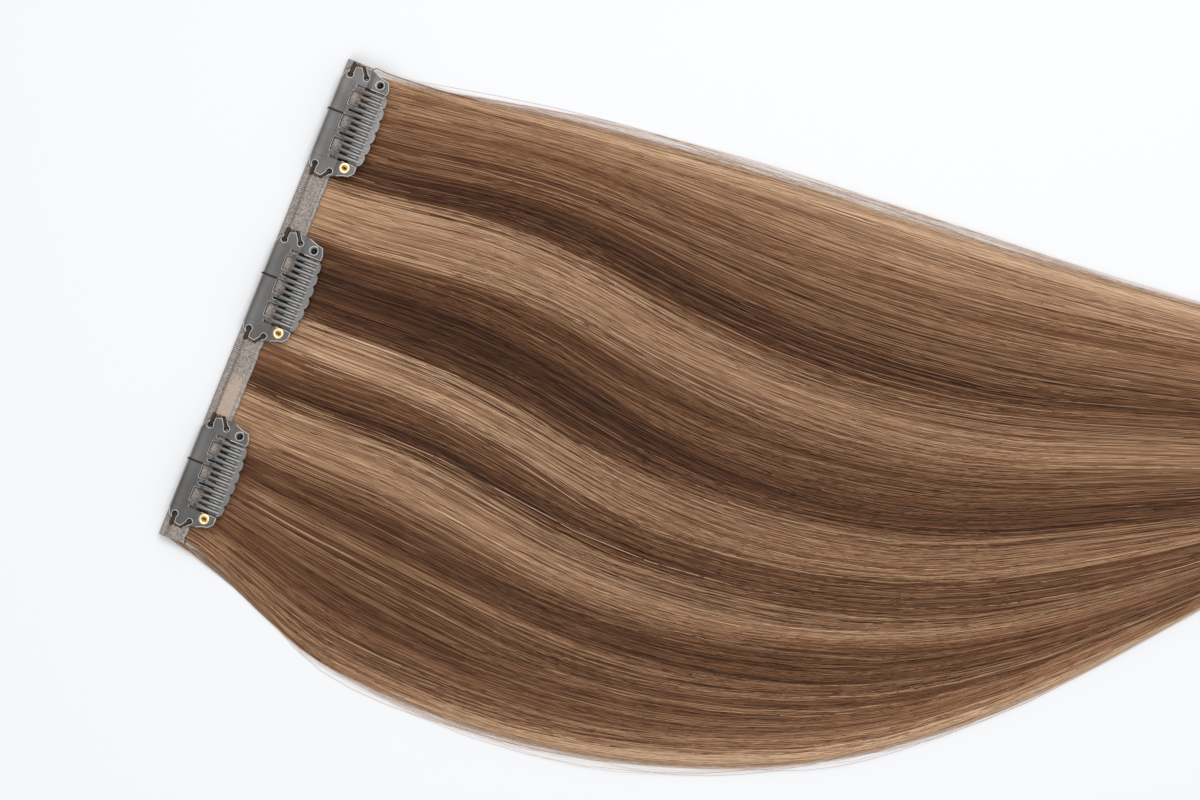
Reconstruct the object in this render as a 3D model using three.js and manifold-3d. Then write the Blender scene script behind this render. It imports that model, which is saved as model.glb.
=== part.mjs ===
// A clip in hair extension: a folded weft band, three snap comb clips and a fall of hair in locks.
// Millimetres, +Z up. +X runs from the band towards the tips, +Y along the band.

import * as THREE from 'three';
import { mergeVertices } from 'three/addons/utils/BufferGeometryUtils.js';
import Module from 'manifold-3d';

const wasm = await Module();
wasm.setup();

// Clearances
const GAP = 0.3; // between pieces that lie on each other
const RUN = 0.15; // between the eyelet and its hole
const OVERSHOOT = 1; // how far a cutting tool runs past a face

// Weft band
const BAND_LENGTH = 142.6;
const BAND_WIDTH = 7.6;
const LOWER_LEG = 1.0; // cloth wall under the hair root
const UPPER_LEG = 1.0; // cloth wall over the hair root, at the narrow strip
const TOP_LAYER = 0.3; // extra height of the wider strip sewn on top
const SEAM_AT = 2.2; // where the wider strip begins, from the back edge
const FOLD_WALL = 1.3; // cloth at the back fold
const FOLD_SEGMENTS = 6;

// Hair
const HAIR_LENGTH = 356; // along a strand, 14 inches
const ROOT_THICKNESS = 0.8; // hair held in the fold
const ROOT_INSET = 1.0; // hair ends short of the band's ends
const HAIR_HEIGHT = 6.5; // highest crown of the locks
const CREASE_DEPTH = 0.42; // share of a lock's height lost between two locks
const LOCK_COUNT = 12;
const LOCK_OVERLAP = 1.3; // lock width over lock spacing
const LOCK_STEPS = 15;
const TIP_START = 0.78; // share of a lock where it begins to taper
const TIP_WIDTH = 0.5; // share of a lock's width left at its end
const TIP_HEIGHT = 0.4; // share of a lock's height left at its end
const LOCK_STAGGER = 0.075; // share of the length by which the shortest lock is shorter

// Clips
const CLIP_DEPTH = 15.2; // from the back edge to the crests of the scallops
const CLIP_HALF_LENGTH = 16;
const CLIP_BACK = 0.3; // the clip's back edge, in from the band's back edge
const UPPER_MARGIN = 1.3; // bare band beyond the first clip
const LOWER_MARGIN = 4.3; // bare band beyond the last clip
const MIDDLE_CLIP_AT = 0.471; // share of the way from the first clip to the last
const SHEET = 0.5; // plate thickness
const BACK_PAD = 0.2; // extra height of the pressed back bar
const BACK_PAD_EDGE = 0.5; // plain margin round the pressed back bar
const COMB_LIFT = 0.6; // air between the plate's strips and the comb
const COMB_THICKNESS = 0.7;
const RIB_HEIGHT = 0.2; // teeth above the comb's bar
const LUG_LIFT = 1.3; // height of the raised lugs' underside above the plate's underside
const UPPER_LUG = 4.6; // length of the upper lug, from the clip's end
const LOWER_LUG = 5.8;
const LUG_MARGIN = 0.45; // from the outer gap's middle to the lug's inner edge
const BACK_BAR = 4.3; // width of the back bar
const FRONT_BAR = 1.8; // width of the front bar
const FRONT_BAR_PAST_HINGE = 0.3;
const SLOT_INSET = 0.7; // slots end this far in front of the back bar
const TOOTH_WIDTH = 0.95;
const TOOTH_COUNT = 12;
const TEETH_PER_WINDOW = 4; // strip, two free teeth, strip
const FREE_TOOTH_REACH = 2.4; // of the short teeth, back from the front bar
const TIP_BEND = 1.1; // length of the bent tip of a tooth
const RIB_INSET = 1.9; // from the crests of the scallops to the ribs' ends
const COMB_BAR_PAST_HINGE = 0.7;
const SCALLOP_DEPTH = 0.65;
const SCALLOP_BOW = 0.8; // how far the ends of the comb's edge fall back
const SCALLOP_STEPS = 5;
const TEETH_PER_SCALLOP = 2;
const HINGE_INSET = 4.0; // from the crests of the scallops
const TRUNNION_RADIUS = 0.35;
const TRUNNION_REACH = 0.85; // length under the lug
const NECK_WIDTH = 0.45;
const HOLE_SIDES = 12;

// Eyelets, places from the crests of the scallops and from the clip's end
const EYELET = { inset: 3.8, fromEnd: 2.8, hole: 0.95, rim: 1.4, rimHeight: 0.25 };
const RIVET = { inset: 4.5, fromEnd: 4.25, bore: 0.7, barrel: 0.95, foot: 1.3, footHeight: 0.15,
  flange: 1.56, flangeHeight: 0.25 };

// Sewing notches: a round hole and the open mouth of the slot that leads to it. The places are
// shares of the clip's depth and of its half length, the radius and slot width are sizes.
const NOTCHES = [
  { across: 0.138, along: 0.831, mouthAcross: 0.158, mouthAlong: 1.094, radius: 1.0, slot: 1.3 },
  { across: 0.441, along: 0.869, mouthAcross: 0.283, mouthAlong: 1.094, radius: 0.95, slot: 1.2 },
];

// Outline of a plate, a row for each corner: share of the clip's depth and of its half length
const PLATE_OUTLINE = [
  { across: 0.0, along: 0.74 },
  { across: 0.05, along: 0.87 },
  { across: 0.17, along: 0.97 },
  { across: 0.27, along: 1.0 },
  { across: 0.48, along: 1.04 },
  { across: 0.76, along: 0.94 },
  { across: 0.86, along: 0.93 },
  { across: 0.91, along: 0.8 },
  { across: 0.9, along: 0.64 },
  { across: 0.88, along: -0.64 },
  { across: 0.88, along: -0.76 },
  { across: 0.8, along: -0.84 },
  { across: 0.7, along: -0.86 },
  { across: 0.36, along: -1.0 },
  { across: 0.17, along: -0.97 },
  { across: 0.05, along: -0.87 },
  { across: 0.0, along: -0.74 },
];

// Sections of the fall of hair, as shares: along the strands of HAIR_LENGTH, the middle's place
// from the band's front edge of HAIR_LENGTH, the half width of half the band, the turn of the
// section in degrees, and the crown of HAIR_HEIGHT
const HAIR_SECTIONS = [
  { along: 0.0, x: 0.0, y: 0.0, spread: 0.99, turn: 0, crown: 0.13 },
  { along: 0.03, x: 0.03, y: -0.003, spread: 1.02, turn: 0.4, crown: 0.33 },
  { along: 0.14, x: 0.138, y: -0.0155, spread: 1.15, turn: 1.6, crown: 0.82 },
  { along: 0.28, x: 0.277, y: -0.009, spread: 1.19, turn: 1.7, crown: 1.0 },
  { along: 0.42, x: 0.416, y: 0.01, spread: 1.15, turn: 2.1, crown: 1.0 },
  { along: 0.56, x: 0.551, y: 0.045, spread: 1.04, turn: 3.8, crown: 0.95 },
  { along: 0.7, x: 0.676, y: 0.096, spread: 0.87, turn: 9.6, crown: 0.9 },
  { along: 0.84, x: 0.792, y: 0.155, spread: 0.69, turn: 22, crown: 0.8 },
  { along: 1.0, x: 0.915, y: 0.229, spread: 0.56, turn: 43, crown: 0.62 },
];

// Heights worked out from the sizes above
const ROOT_BOTTOM = LOWER_LEG + GAP;
const ROOT_TOP = ROOT_BOTTOM + ROOT_THICKNESS;
const STRIP_TOP = ROOT_TOP + GAP + UPPER_LEG;
const BAND_TOP = STRIP_TOP + TOP_LAYER;
const PLATE_BOTTOM = BAND_TOP + GAP;

// On a clip, heights from the plate's underside
const COMB_BOTTOM = SHEET + COMB_LIFT;
const LUG_TOP = LUG_LIFT + SHEET;
const HINGE_Z = LUG_LIFT - 2 * RUN - RIVET.footHeight - TRUNNION_RADIUS;

// On a clip, places across it from the back edge
const HINGE_X = CLIP_DEPTH - HINGE_INSET;
const FRONT_BAR_FRONT = HINGE_X + FRONT_BAR_PAST_HINGE;
const WINDOW_FRONT = FRONT_BAR_FRONT - FRONT_BAR;
const SLOT_BACK = BACK_BAR + SLOT_INSET;
const COMB_BACK = HINGE_X + COMB_BAR_PAST_HINGE;
const RIB_FRONT = CLIP_DEPTH - RIB_INSET;
const LUG_RAMP_FRONT = CLIP_DEPTH - RIVET.inset - RIVET.foot - RUN;
const LUG_RAMP_BACK = LUG_RAMP_FRONT - LUG_LIFT;

// On a clip, places along it from its middle
const UPPER_LUG_EDGE = CLIP_HALF_LENGTH - UPPER_LUG;
const LOWER_LUG_EDGE = LOWER_LUG - CLIP_HALF_LENGTH;
const FIELD_MIDDLE = (UPPER_LUG_EDGE + LOWER_LUG_EDGE) / 2;
const LUG_EDGE = UPPER_LUG_EDGE - FIELD_MIDDLE;
const COMB_END = LUG_EDGE - GAP;
const FIELD_HALF = LUG_EDGE - LUG_MARGIN;
const PITCH = 2 * FIELD_HALF / TOOTH_COUNT;
const GAP_HALF = (PITCH - TOOTH_WIDTH) / 2;
const RIVET_X = CLIP_DEPTH - RIVET.inset;
const RIVET_Y = RIVET.fromEnd - CLIP_HALF_LENGTH;

// Heights that a through cut runs between
const CUT_LOW = -OVERSHOOT;
const CUT_HIGH = LUG_TOP + OVERSHOOT;

const MATERIALS = {
  fabric: { color: 0x96897f, roughness: 0.95, metalness: 0 },
  hair: { color: 0x7a5238, roughness: 0.5, metalness: 0 },
  steel: { color: 0x5f6063, roughness: 0.42, metalness: 0.85 },
  brass: { color: 0xc79a4e, roughness: 0.3, metalness: 0.95 },
};

// A named mesh with its own material
function piece(name, geometry, look) {
  const mesh = new THREE.Mesh(geometry, new THREE.MeshStandardMaterial(MATERIALS[look]));
  mesh.name = name;
  return mesh;
}

// A closed geometry as a solid that can be joined and cut
function solid(geometry) {
  const bare = geometry.clone();
  bare.deleteAttribute('normal');
  bare.deleteAttribute('uv');
  const merged = mergeVertices(bare, 1e-4);
  return new wasm.Manifold(new wasm.Mesh({
    numProp: 3,
    vertProperties: new Float32Array(merged.attributes.position.array),
    triVerts: new Uint32Array(merged.index.array),
  }));
}

function geometryOf(body) {
  const mesh = body.getMesh();
  const geometry = new THREE.BufferGeometry();
  geometry.setAttribute('position', new THREE.BufferAttribute(mesh.vertProperties, 3));
  geometry.setIndex(new THREE.BufferAttribute(mesh.triVerts, 1));
  geometry.computeVertexNormals();
  return geometry;
}

function join(bodies) {
  return bodies.reduce((whole, next) => whole.add(next));
}

function block(x, y, z) {
  const box = new THREE.BoxGeometry(x[1] - x[0], y[1] - y[0], z[1] - z[0]);
  box.translate((x[0] + x[1]) / 2, (y[0] + y[1]) / 2, (z[0] + z[1]) / 2);
  return solid(box);
}

// A plan shape given thickness between two heights
function slab(shape, low, high, curveSegments = HOLE_SIDES) {
  const geometry = new THREE.ExtrudeGeometry(shape, {
    depth: high - low,
    bevelEnabled: false,
    curveSegments,
  });
  geometry.translate(0, 0, low);
  return solid(geometry);
}

// A profile in X and Z, run along Y between two places
function run(profile, from, to) {
  const geometry = new THREE.ExtrudeGeometry(profile, { depth: to - from, bevelEnabled: false });
  geometry.rotateX(Math.PI / 2);
  geometry.translate(0, to, 0);
  return solid(geometry);
}

function disc(x, y, radius, low, high) {
  const cylinder = new THREE.CylinderGeometry(radius, radius, high - low, HOLE_SIDES);
  cylinder.rotateX(Math.PI / 2);
  cylinder.translate(x, y, (low + high) / 2);
  return solid(cylinder);
}

function polygon(points) {
  return new THREE.Shape(points.map(([x, y]) => new THREE.Vector2(x, y)));
}

// The band: one tape folded at the back edge round the hair root, with a stepped seam on top
function bandGeometry() {
  const outer = STRIP_TOP / 2;
  const inner = (ROOT_TOP + GAP - LOWER_LEG) / 2;
  const profile = new THREE.Shape();
  profile.moveTo(BAND_WIDTH, 0);
  profile.lineTo(BAND_WIDTH, LOWER_LEG);
  profile.lineTo(FOLD_WALL + inner, LOWER_LEG);
  profile.absarc(FOLD_WALL + inner, LOWER_LEG + inner, inner, -Math.PI / 2, Math.PI / 2, true);
  profile.lineTo(BAND_WIDTH, ROOT_TOP + GAP);
  profile.lineTo(BAND_WIDTH, BAND_TOP);
  profile.lineTo(SEAM_AT, BAND_TOP);
  profile.lineTo(SEAM_AT, STRIP_TOP);
  profile.lineTo(outer, STRIP_TOP);
  profile.absarc(outer, outer, outer, Math.PI / 2, 3 * Math.PI / 2, false);
  profile.closePath();
  const geometry = new THREE.ExtrudeGeometry(profile, {
    depth: BAND_LENGTH,
    bevelEnabled: false,
    curveSegments: FOLD_SEGMENTS,
  });
  geometry.rotateX(Math.PI / 2);
  geometry.translate(0, BAND_LENGTH / 2, 0);
  return geometryOf(solid(geometry));
}

// The sections of the hair, read smoothly at any share of the length
const sectionColumns = ['x', 'y', 'spread', 'turn', 'crown'];
const sectionReader = new THREE.CubicInterpolant(
  HAIR_SECTIONS.map((row) => row.along),
  HAIR_SECTIONS.flatMap((row) => sectionColumns.map((column) => row[column])),
  sectionColumns.length,
);

function hairSection(share) {
  const [x, y, spread, turn, crown] = sectionReader.evaluate(share);
  const angle = THREE.MathUtils.degToRad(turn);
  return {
    middle: new THREE.Vector2(BAND_WIDTH + GAP + x * HAIR_LENGTH, y * HAIR_LENGTH),
    across: new THREE.Vector2(Math.sin(angle), Math.cos(angle)),
    half: spread * BAND_LENGTH / 2,
    crown: crown * HAIR_HEIGHT,
  };
}

// A lock: a flat-bottomed, domed section carried along the flow, tapering to a blunt tip
const LOCK_PROFILE = [
  { side: -1.0, up: 0.3 },
  { side: -0.8, up: 0.0 },
  { side: 0.8, up: 0.0 },
  { side: 1.0, up: 0.3 },
  { side: 0.72, up: 1 - CREASE_DEPTH / 2 },
  { side: 0.3, up: 1.0 },
  { side: -0.3, up: 1.0 },
  { side: -0.72, up: 1 - CREASE_DEPTH / 2 },
];

function lockGeometry(index) {
  const spacing = 2 / LOCK_COUNT;
  const place = -1 + (index + 0.5) * spacing;
  const reach = 1 - LOCK_STAGGER * (0.5 + 0.5 * Math.sin(2.4 * index));
  const sides = LOCK_PROFILE.length;
  const positions = [];
  const indices = [];
  for (let step = 0; step <= LOCK_STEPS; step += 1) {
    const share = step / LOCK_STEPS;
    const section = hairSection(share * reach);
    const taper = THREE.MathUtils.smoothstep(share, TIP_START, 1);
    const half = section.half * spacing * LOCK_OVERLAP / 2 * (1 - taper * (1 - TIP_WIDTH));
    const edge = 1 - 0.35 * Math.abs(place) ** 3;
    const ripple = 1 + 0.12 * Math.sin(1.7 * index + 2.2 * share);
    const seated = THREE.MathUtils.smoothstep(share, 0, 0.05);
    const bottom = ROOT_BOTTOM * (1 - seated);
    const full = section.crown * edge * ripple * (1 - taper * (1 - TIP_HEIGHT));
    const height = THREE.MathUtils.lerp(ROOT_THICKNESS, full, seated);
    const sway = 0.12 * spacing * Math.sin(2.1 * index + 5 * share) * Math.sin(Math.PI * share);
    const inset = 1 - LOCK_OVERLAP * spacing / 2 + spacing / 2;
    for (const { side, up } of LOCK_PROFILE) {
      const across = section.half * (place * inset + sway) + side * half;
      positions.push(
        section.middle.x + section.across.x * across,
        section.middle.y + section.across.y * across,
        bottom + up * height,
      );
    }
  }
  for (let step = 0; step < LOCK_STEPS; step += 1) {
    for (let k = 0; k < sides; k += 1) {
      const a = step * sides + k;
      const b = step * sides + (k + 1) % sides;
      indices.push(a, b, b + sides, a, b + sides, a + sides);
    }
  }
  const last = LOCK_STEPS * sides;
  for (let k = 1; k < sides - 1; k += 1) {
    indices.push(0, k + 1, k);
    indices.push(last, last + k, last + k + 1);
  }
  const geometry = new THREE.BufferGeometry();
  geometry.setAttribute('position', new THREE.Float32BufferAttribute(positions, 3));
  geometry.setIndex(indices);
  return geometry;
}

// The hair: every lock fused to the thin root strip that the band's fold holds
function hairGeometry() {
  const half = BAND_LENGTH / 2 - ROOT_INSET;
  const back = FOLD_WALL + (ROOT_TOP + GAP - LOWER_LEG) / 2 + GAP;
  const root = block([back, BAND_WIDTH + 2 * GAP], [-half, half], [ROOT_BOTTOM, ROOT_TOP]);
  const locks = Array.from({ length: LOCK_COUNT }, (_, index) => solid(lockGeometry(index)));
  return geometryOf(join([root, ...locks]));
}

// Middle of the gap above tooth number index, counted from the upper end
function gapY(index) {
  return FIELD_MIDDLE + FIELD_HALF - index * PITCH;
}

// A sewing notch on the upper or lower end of the plate
function notch(row, end) {
  const place = (across, along) =>
    new THREE.Vector2(across * CLIP_DEPTH, end * along * CLIP_HALF_LENGTH);
  const from = place(row.across, row.along);
  const to = place(row.mouthAcross, row.mouthAlong);
  const side = to.clone().sub(from).normalize().rotateAround(new THREE.Vector2(), Math.PI / 2);
  side.multiplyScalar(row.slot / 2);
  const slot = new THREE.Shape([
    from.clone().sub(side),
    to.clone().sub(side),
    to.clone().add(side),
    from.clone().add(side),
  ]);
  return slab(slot, CUT_LOW, CUT_HIGH).add(disc(from.x, from.y, row.radius, CUT_LOW, CUT_HIGH));
}

// A stretch along the clip, mirrored about the middle of the teeth for its lower end
function stretch(end, from, to) {
  return [FIELD_MIDDLE + end * from, FIELD_MIDDLE + end * to].sort((a, b) => a - b);
}

// The stamped plate: back bar, windows and strips, front bar, and a raised lug at each end
function plateGeometry() {
  const through = [CUT_LOW, CUT_HIGH];
  const past = CLIP_DEPTH + OVERSHOOT;
  const reach = CLIP_HALF_LENGTH + 2 * OVERSHOOT;
  const outline = slab(polygon(PLATE_OUTLINE.map(({ across, along }) => [
    across * CLIP_DEPTH,
    along * CLIP_HALF_LENGTH,
  ])), CUT_LOW, CUT_HIGH);
  const sheetTo = (x) => polygon([[-OVERSHOOT, 0], [x, 0], [x, SHEET], [-OVERSHOOT, SHEET]]);
  const lug = polygon([
    [-OVERSHOOT, 0],
    [LUG_RAMP_BACK, 0],
    [LUG_RAMP_FRONT, LUG_LIFT],
    [past, LUG_LIFT],
    [past, LUG_TOP],
    [LUG_RAMP_FRONT - SHEET / 2, LUG_TOP],
    [LUG_RAMP_BACK - SHEET / 2, SHEET],
    [-OVERSHOOT, SHEET],
  ]);
  const sheets = join([
    run(sheetTo(SLOT_BACK + OVERSHOOT), -reach, reach),
    run(sheetTo(past), LOWER_LUG_EDGE + GAP, UPPER_LUG_EDGE - GAP),
    run(lug, UPPER_LUG_EDGE, reach),
    run(lug, -reach, LOWER_LUG_EDGE),
  ]);
  const cuts = [block([FRONT_BAR_FRONT, past], [LOWER_LUG_EDGE, UPPER_LUG_EDGE], through)];
  for (const end of [1, -1]) {
    const slot = stretch(end, FIELD_HALF - GAP_HALF, LUG_EDGE);
    const neckRoom = stretch(end, COMB_END - NECK_WIDTH - GAP, LUG_EDGE);
    cuts.push(block([SLOT_BACK, past], slot, through));
    cuts.push(block([HINGE_X - NECK_WIDTH - GAP, past], neckRoom, through));
    cuts.push(...NOTCHES.map((row) => notch(row, end)));
  }
  for (let tooth = 0; tooth < TOOTH_COUNT; tooth += TEETH_PER_WINDOW) {
    const middle = gapY(tooth + TEETH_PER_WINDOW / 2);
    const half = PITCH * (TEETH_PER_WINDOW / 2 - 1) + GAP_HALF;
    cuts.push(block([BACK_BAR, WINDOW_FRONT], [middle - half, middle + half], through));
    if (tooth > 0) {
      const slot = [gapY(tooth) - GAP_HALF, gapY(tooth) + GAP_HALF];
      cuts.push(block([SLOT_BACK, WINDOW_FRONT], slot, through));
    }
  }
  const eyelet = [CLIP_DEPTH - EYELET.inset, CLIP_HALF_LENGTH - EYELET.fromEnd];
  cuts.push(disc(...eyelet, EYELET.hole, ...through));
  cuts.push(disc(RIVET_X, RIVET_Y, RIVET.barrel + RUN, ...through));
  const rim = disc(...eyelet, EYELET.rim, LUG_LIFT + SHEET / 2, LUG_TOP + EYELET.rimHeight);
  const pad = block(
    [BACK_PAD_EDGE, BACK_BAR - BACK_PAD_EDGE / 2],
    [LOWER_LUG_EDGE - BACK_PAD_EDGE, UPPER_LUG_EDGE + BACK_PAD_EDGE],
    [SHEET / 2, SHEET + BACK_PAD],
  );
  const body = outline.intersect(sheets).add(pad).add(rim);
  return geometryOf(body.subtract(join(cuts)));
}

// The comb: scalloped bar, twelve teeth with bent tips, and a neck and trunnion at each end
function combGeometry() {
  const top = COMB_BOTTOM + COMB_THICKNESS;
  const scallops = TOOTH_COUNT / TEETH_PER_SCALLOP;
  const edge = [];
  for (let step = 0; step <= scallops * SCALLOP_STEPS; step += 1) {
    const place = step / (scallops * SCALLOP_STEPS);
    const y = FIELD_MIDDLE + THREE.MathUtils.lerp(-FIELD_HALF, FIELD_HALF, place);
    const valley = 1 - Math.abs(Math.sin(Math.PI * scallops * place));
    const bow = SCALLOP_BOW * (2 * place - 1) ** 2;
    edge.push([CLIP_DEPTH - SCALLOP_DEPTH * valley ** 2 - bow, y]);
  }
  const bar = slab(polygon([
    [COMB_BACK, FIELD_MIDDLE - COMB_END],
    ...edge,
    [COMB_BACK, FIELD_MIDDLE + COMB_END],
  ]), COMB_BOTTOM, top);
  const bodies = [bar];
  for (const end of [1, -1]) {
    const neckX = [HINGE_X - NECK_WIDTH, HINGE_X + NECK_WIDTH];
    const neck = stretch(end, COMB_END - NECK_WIDTH, COMB_END);
    bodies.push(block([neckX[0], COMB_BACK + NECK_WIDTH], neck, [COMB_BOTTOM, top]));
    bodies.push(block(neckX, neck, [HINGE_Z, COMB_BOTTOM + COMB_THICKNESS / 2]));
    const pin = stretch(end, COMB_END - NECK_WIDTH / 2, LUG_EDGE + TRUNNION_REACH);
    const trunnion = new THREE.CylinderGeometry(
      TRUNNION_RADIUS, TRUNNION_RADIUS, pin[1] - pin[0], HOLE_SIDES);
    trunnion.translate(HINGE_X, (pin[0] + pin[1]) / 2, HINGE_Z);
    bodies.push(solid(trunnion));
  }
  for (let tooth = 0; tooth < TOOTH_COUNT; tooth += 1) {
    const middle = gapY(tooth) - PITCH / 2;
    const place = tooth % TEETH_PER_WINDOW;
    const overStrip = place === 0 || place === TEETH_PER_WINDOW - 1;
    const tip = overStrip ? SLOT_BACK : WINDOW_FRONT - FREE_TOOTH_REACH;
    const dip = overStrip ? SHEET + GAP : SHEET / 2;
    const side = polygon([
      [tip, dip],
      [tip + TIP_BEND, COMB_BOTTOM],
      [COMB_BACK + NECK_WIDTH, COMB_BOTTOM],
      [COMB_BACK + NECK_WIDTH, COMB_BOTTOM + COMB_THICKNESS / 2],
      [RIB_FRONT, COMB_BOTTOM + COMB_THICKNESS / 2],
      [RIB_FRONT, top],
      [RIB_FRONT - RIB_HEIGHT, top + RIB_HEIGHT],
      [tip + TIP_BEND, top + RIB_HEIGHT],
      [tip, dip + GAP],
    ]);
    bodies.push(run(side, middle - TOOTH_WIDTH / 2, middle + TOOTH_WIDTH / 2));
  }
  return geometryOf(join(bodies));
}

// The brass eyelet through the lower lug
function rivetGeometry() {
  const foot = LUG_LIFT - RUN - RIVET.footHeight;
  const head = LUG_TOP + RUN;
  const crown = head + RIVET.flangeHeight;
  const profile = [
    [RIVET.bore, foot],
    [RIVET.foot, foot],
    [RIVET.foot, foot + RIVET.footHeight],
    [RIVET.barrel, foot + RIVET.footHeight],
    [RIVET.barrel, head],
    [RIVET.flange, head],
    [RIVET.flange, head + RIVET.flangeHeight / 2],
    [RIVET.flange - RIVET.flangeHeight, crown],
    [RIVET.bore + RIVET.flangeHeight / 2, crown],
    [RIVET.bore, foot],
  ].map(([radius, height]) => new THREE.Vector2(radius, height));
  const geometry = new THREE.LatheGeometry(profile, HOLE_SIDES);
  geometry.rotateX(Math.PI / 2);
  geometry.translate(RIVET_X, RIVET_Y, 0);
  return geometryOf(solid(geometry));
}

// One clip with its plate's underside at height zero and its back edge at x zero
function clip(number) {
  const group = new THREE.Group();
  group.add(piece(`clip_${number}_plate`, plateGeometry(), 'steel'));
  group.add(piece(`clip_${number}_comb`, combGeometry(), 'steel'));
  group.add(piece(`clip_${number}_rivet`, rivetGeometry(), 'brass'));
  return group;
}

// The whole extension, with its origin under the middle of its outer box
const extension = new THREE.Group();
extension.add(piece('weft_band', bandGeometry(), 'fabric'));
extension.add(piece('hair', hairGeometry(), 'hair'));
const firstClip = BAND_LENGTH / 2 - UPPER_MARGIN - CLIP_HALF_LENGTH;
const lastClip = LOWER_MARGIN + CLIP_HALF_LENGTH - BAND_LENGTH / 2;
[0, MIDDLE_CLIP_AT, 1].forEach((share, index) => {
  const group = clip(index + 1);
  group.position.set(CLIP_BACK, THREE.MathUtils.lerp(firstClip, lastClip, share), PLATE_BOTTOM);
  extension.add(group);
});
const middle = new THREE.Box3().setFromObject(extension).getCenter(new THREE.Vector3());
extension.position.set(-middle.x, -middle.y, 0);

const model = new THREE.Group();
model.add(extension);

export default model;
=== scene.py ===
"""A clip in hair extension: woven weft band, three snap combs and a fall of highlighted hair."""

import math

import bmesh
import bpy
import numpy as np
from bpy.props import FloatProperty, FloatVectorProperty, IntProperty, PointerProperty
from mathutils import Euler, Matrix, Vector


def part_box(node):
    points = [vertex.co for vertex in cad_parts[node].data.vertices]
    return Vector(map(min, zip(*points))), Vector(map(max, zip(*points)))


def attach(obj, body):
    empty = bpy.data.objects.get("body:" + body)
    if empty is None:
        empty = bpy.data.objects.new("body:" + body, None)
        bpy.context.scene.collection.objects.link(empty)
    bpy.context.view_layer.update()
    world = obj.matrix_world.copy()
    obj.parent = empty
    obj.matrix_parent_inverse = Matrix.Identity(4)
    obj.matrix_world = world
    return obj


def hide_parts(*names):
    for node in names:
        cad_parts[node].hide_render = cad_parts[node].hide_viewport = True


bl_info = {
    "name": "Clip in hair extension",
    "version": (1, 0, 0),
    "blender": (4, 5, 0),
    "location": "3D View > Sidebar > Extension",
    "description": "Dresses a clip in hair extension: band, clips, threads and hair",
    "category": "Add Mesh",
}

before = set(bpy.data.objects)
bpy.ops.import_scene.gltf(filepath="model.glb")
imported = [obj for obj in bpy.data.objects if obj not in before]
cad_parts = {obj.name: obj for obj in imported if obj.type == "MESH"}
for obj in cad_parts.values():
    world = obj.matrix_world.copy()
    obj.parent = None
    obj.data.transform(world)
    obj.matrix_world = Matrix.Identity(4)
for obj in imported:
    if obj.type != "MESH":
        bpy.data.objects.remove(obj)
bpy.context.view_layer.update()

MM = 0.001
BODY = "extension"
CLIPS = (1, 2, 3)

# The band's back edge, its middle and the surface it lies on, in the frame
BAND_LOW, BAND_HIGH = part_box("weft_band")
BACK_X = BAND_LOW.x
MIDDLE_Y = (BAND_LOW.y + BAND_HIGH.y) / 2
BAND_WIDTH = BAND_HIGH.x - BAND_LOW.x
BAND_HALF = (BAND_HIGH.y - BAND_LOW.y) / 2
BAND_TOP = BAND_HIGH.z

# Within these, points of a CAD solid are one and faces are flat
MERGE_WITHIN = 2e-6
FLAT_WITHIN = math.radians(2)

# Band's layers, as in the frame's solid
LEG = 1.0 * MM
TOP_LAYER = 0.3 * MM
SEAM_AT = 2.2 * MM
FOLD_WALL = 1.3 * MM
GAP = 0.3 * MM
ROOT_THICKNESS = 0.8 * MM
ROOT_BOTTOM = LEG + GAP

# A clip, in mm from its plate's back edge, its middle along the band and its plate's underside
CLIP_HALF_LENGTH = 16.0
CLIP_DEPTH = 16.0
SHEET = 0.5
LUG_TOP = 1.8
COMB_TOP = 1.8
BACK_BAR = 4.0
WINDOW_FRONT = 9.4
COMB_BACK = 11.6
U_BEND_AT = 13.1
ROD_BACK = 6.8
TONGUE_BACK = 9.9
FIELD_MIDDLE = 0.6
TOOTH_PITCH = 1.725
TOOTH_PAIRS = 6
EYELET_X, EYELET_Y = 11.1, 13.2
RIVET_X, RIVET_Y = 10.4, -11.75

# Sewing holes of one end of a clip, and the plate's tab between their mouths
HOLE_BACK = (1.8, 13.3)
HOLE_FRONT = (6.4, 13.9)
MOUTH_BACK = (2.1, 15.9)
MOUTH_FRONT = (5.0, 15.9)
TAB_BACK = (2.9, 15.7)
TAB_FRONT = (4.1, 15.8)
CROSS_THREAD_Y = 2.3

HAIR_LENGTH = 356 * MM
HAIR_HEIGHT = 6.5 * MM
LOCK_COUNT = 12

# Sections of the fall, as shares: along the strands, the middle's place from the band's front
# edge in hair lengths, the half width in half bands, the turn in degrees, the crown in hair
# heights, and how far strands below and above the middle drift to the upper edge in half widths
FALL_COLUMNS = ("along", "x", "y", "spread", "turn", "crown", "drift_low", "drift_high")
FALL = (
    (0.00, 0.000, 0.0000, 0.99, 0.0, 0.13, 0.000, 0.000),
    (0.03, 0.030, -0.0030, 1.02, 0.4, 0.33, 0.020, 0.015),
    (0.14, 0.138, -0.0155, 1.15, 1.6, 0.82, 0.135, 0.080),
    (0.21, 0.208, -0.0138, 1.18, 1.7, 0.93, 0.100, 0.050),
    (0.28, 0.277, -0.0090, 1.19, 1.7, 1.00, 0.045, -0.020),
    (0.42, 0.416, 0.0100, 1.15, 2.1, 1.00, -0.020, -0.115),
    (0.56, 0.551, 0.0450, 1.04, 3.8, 0.95, -0.060, -0.145),
    (0.70, 0.676, 0.0960, 0.87, 9.6, 0.90, -0.080, -0.110),
    (0.84, 0.792, 0.1550, 0.69, 22.0, 0.80, -0.070, -0.090),
    (1.00, 0.915, 0.2290, 0.56, 43.0, 0.62, -0.040, -0.050),
)

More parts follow.
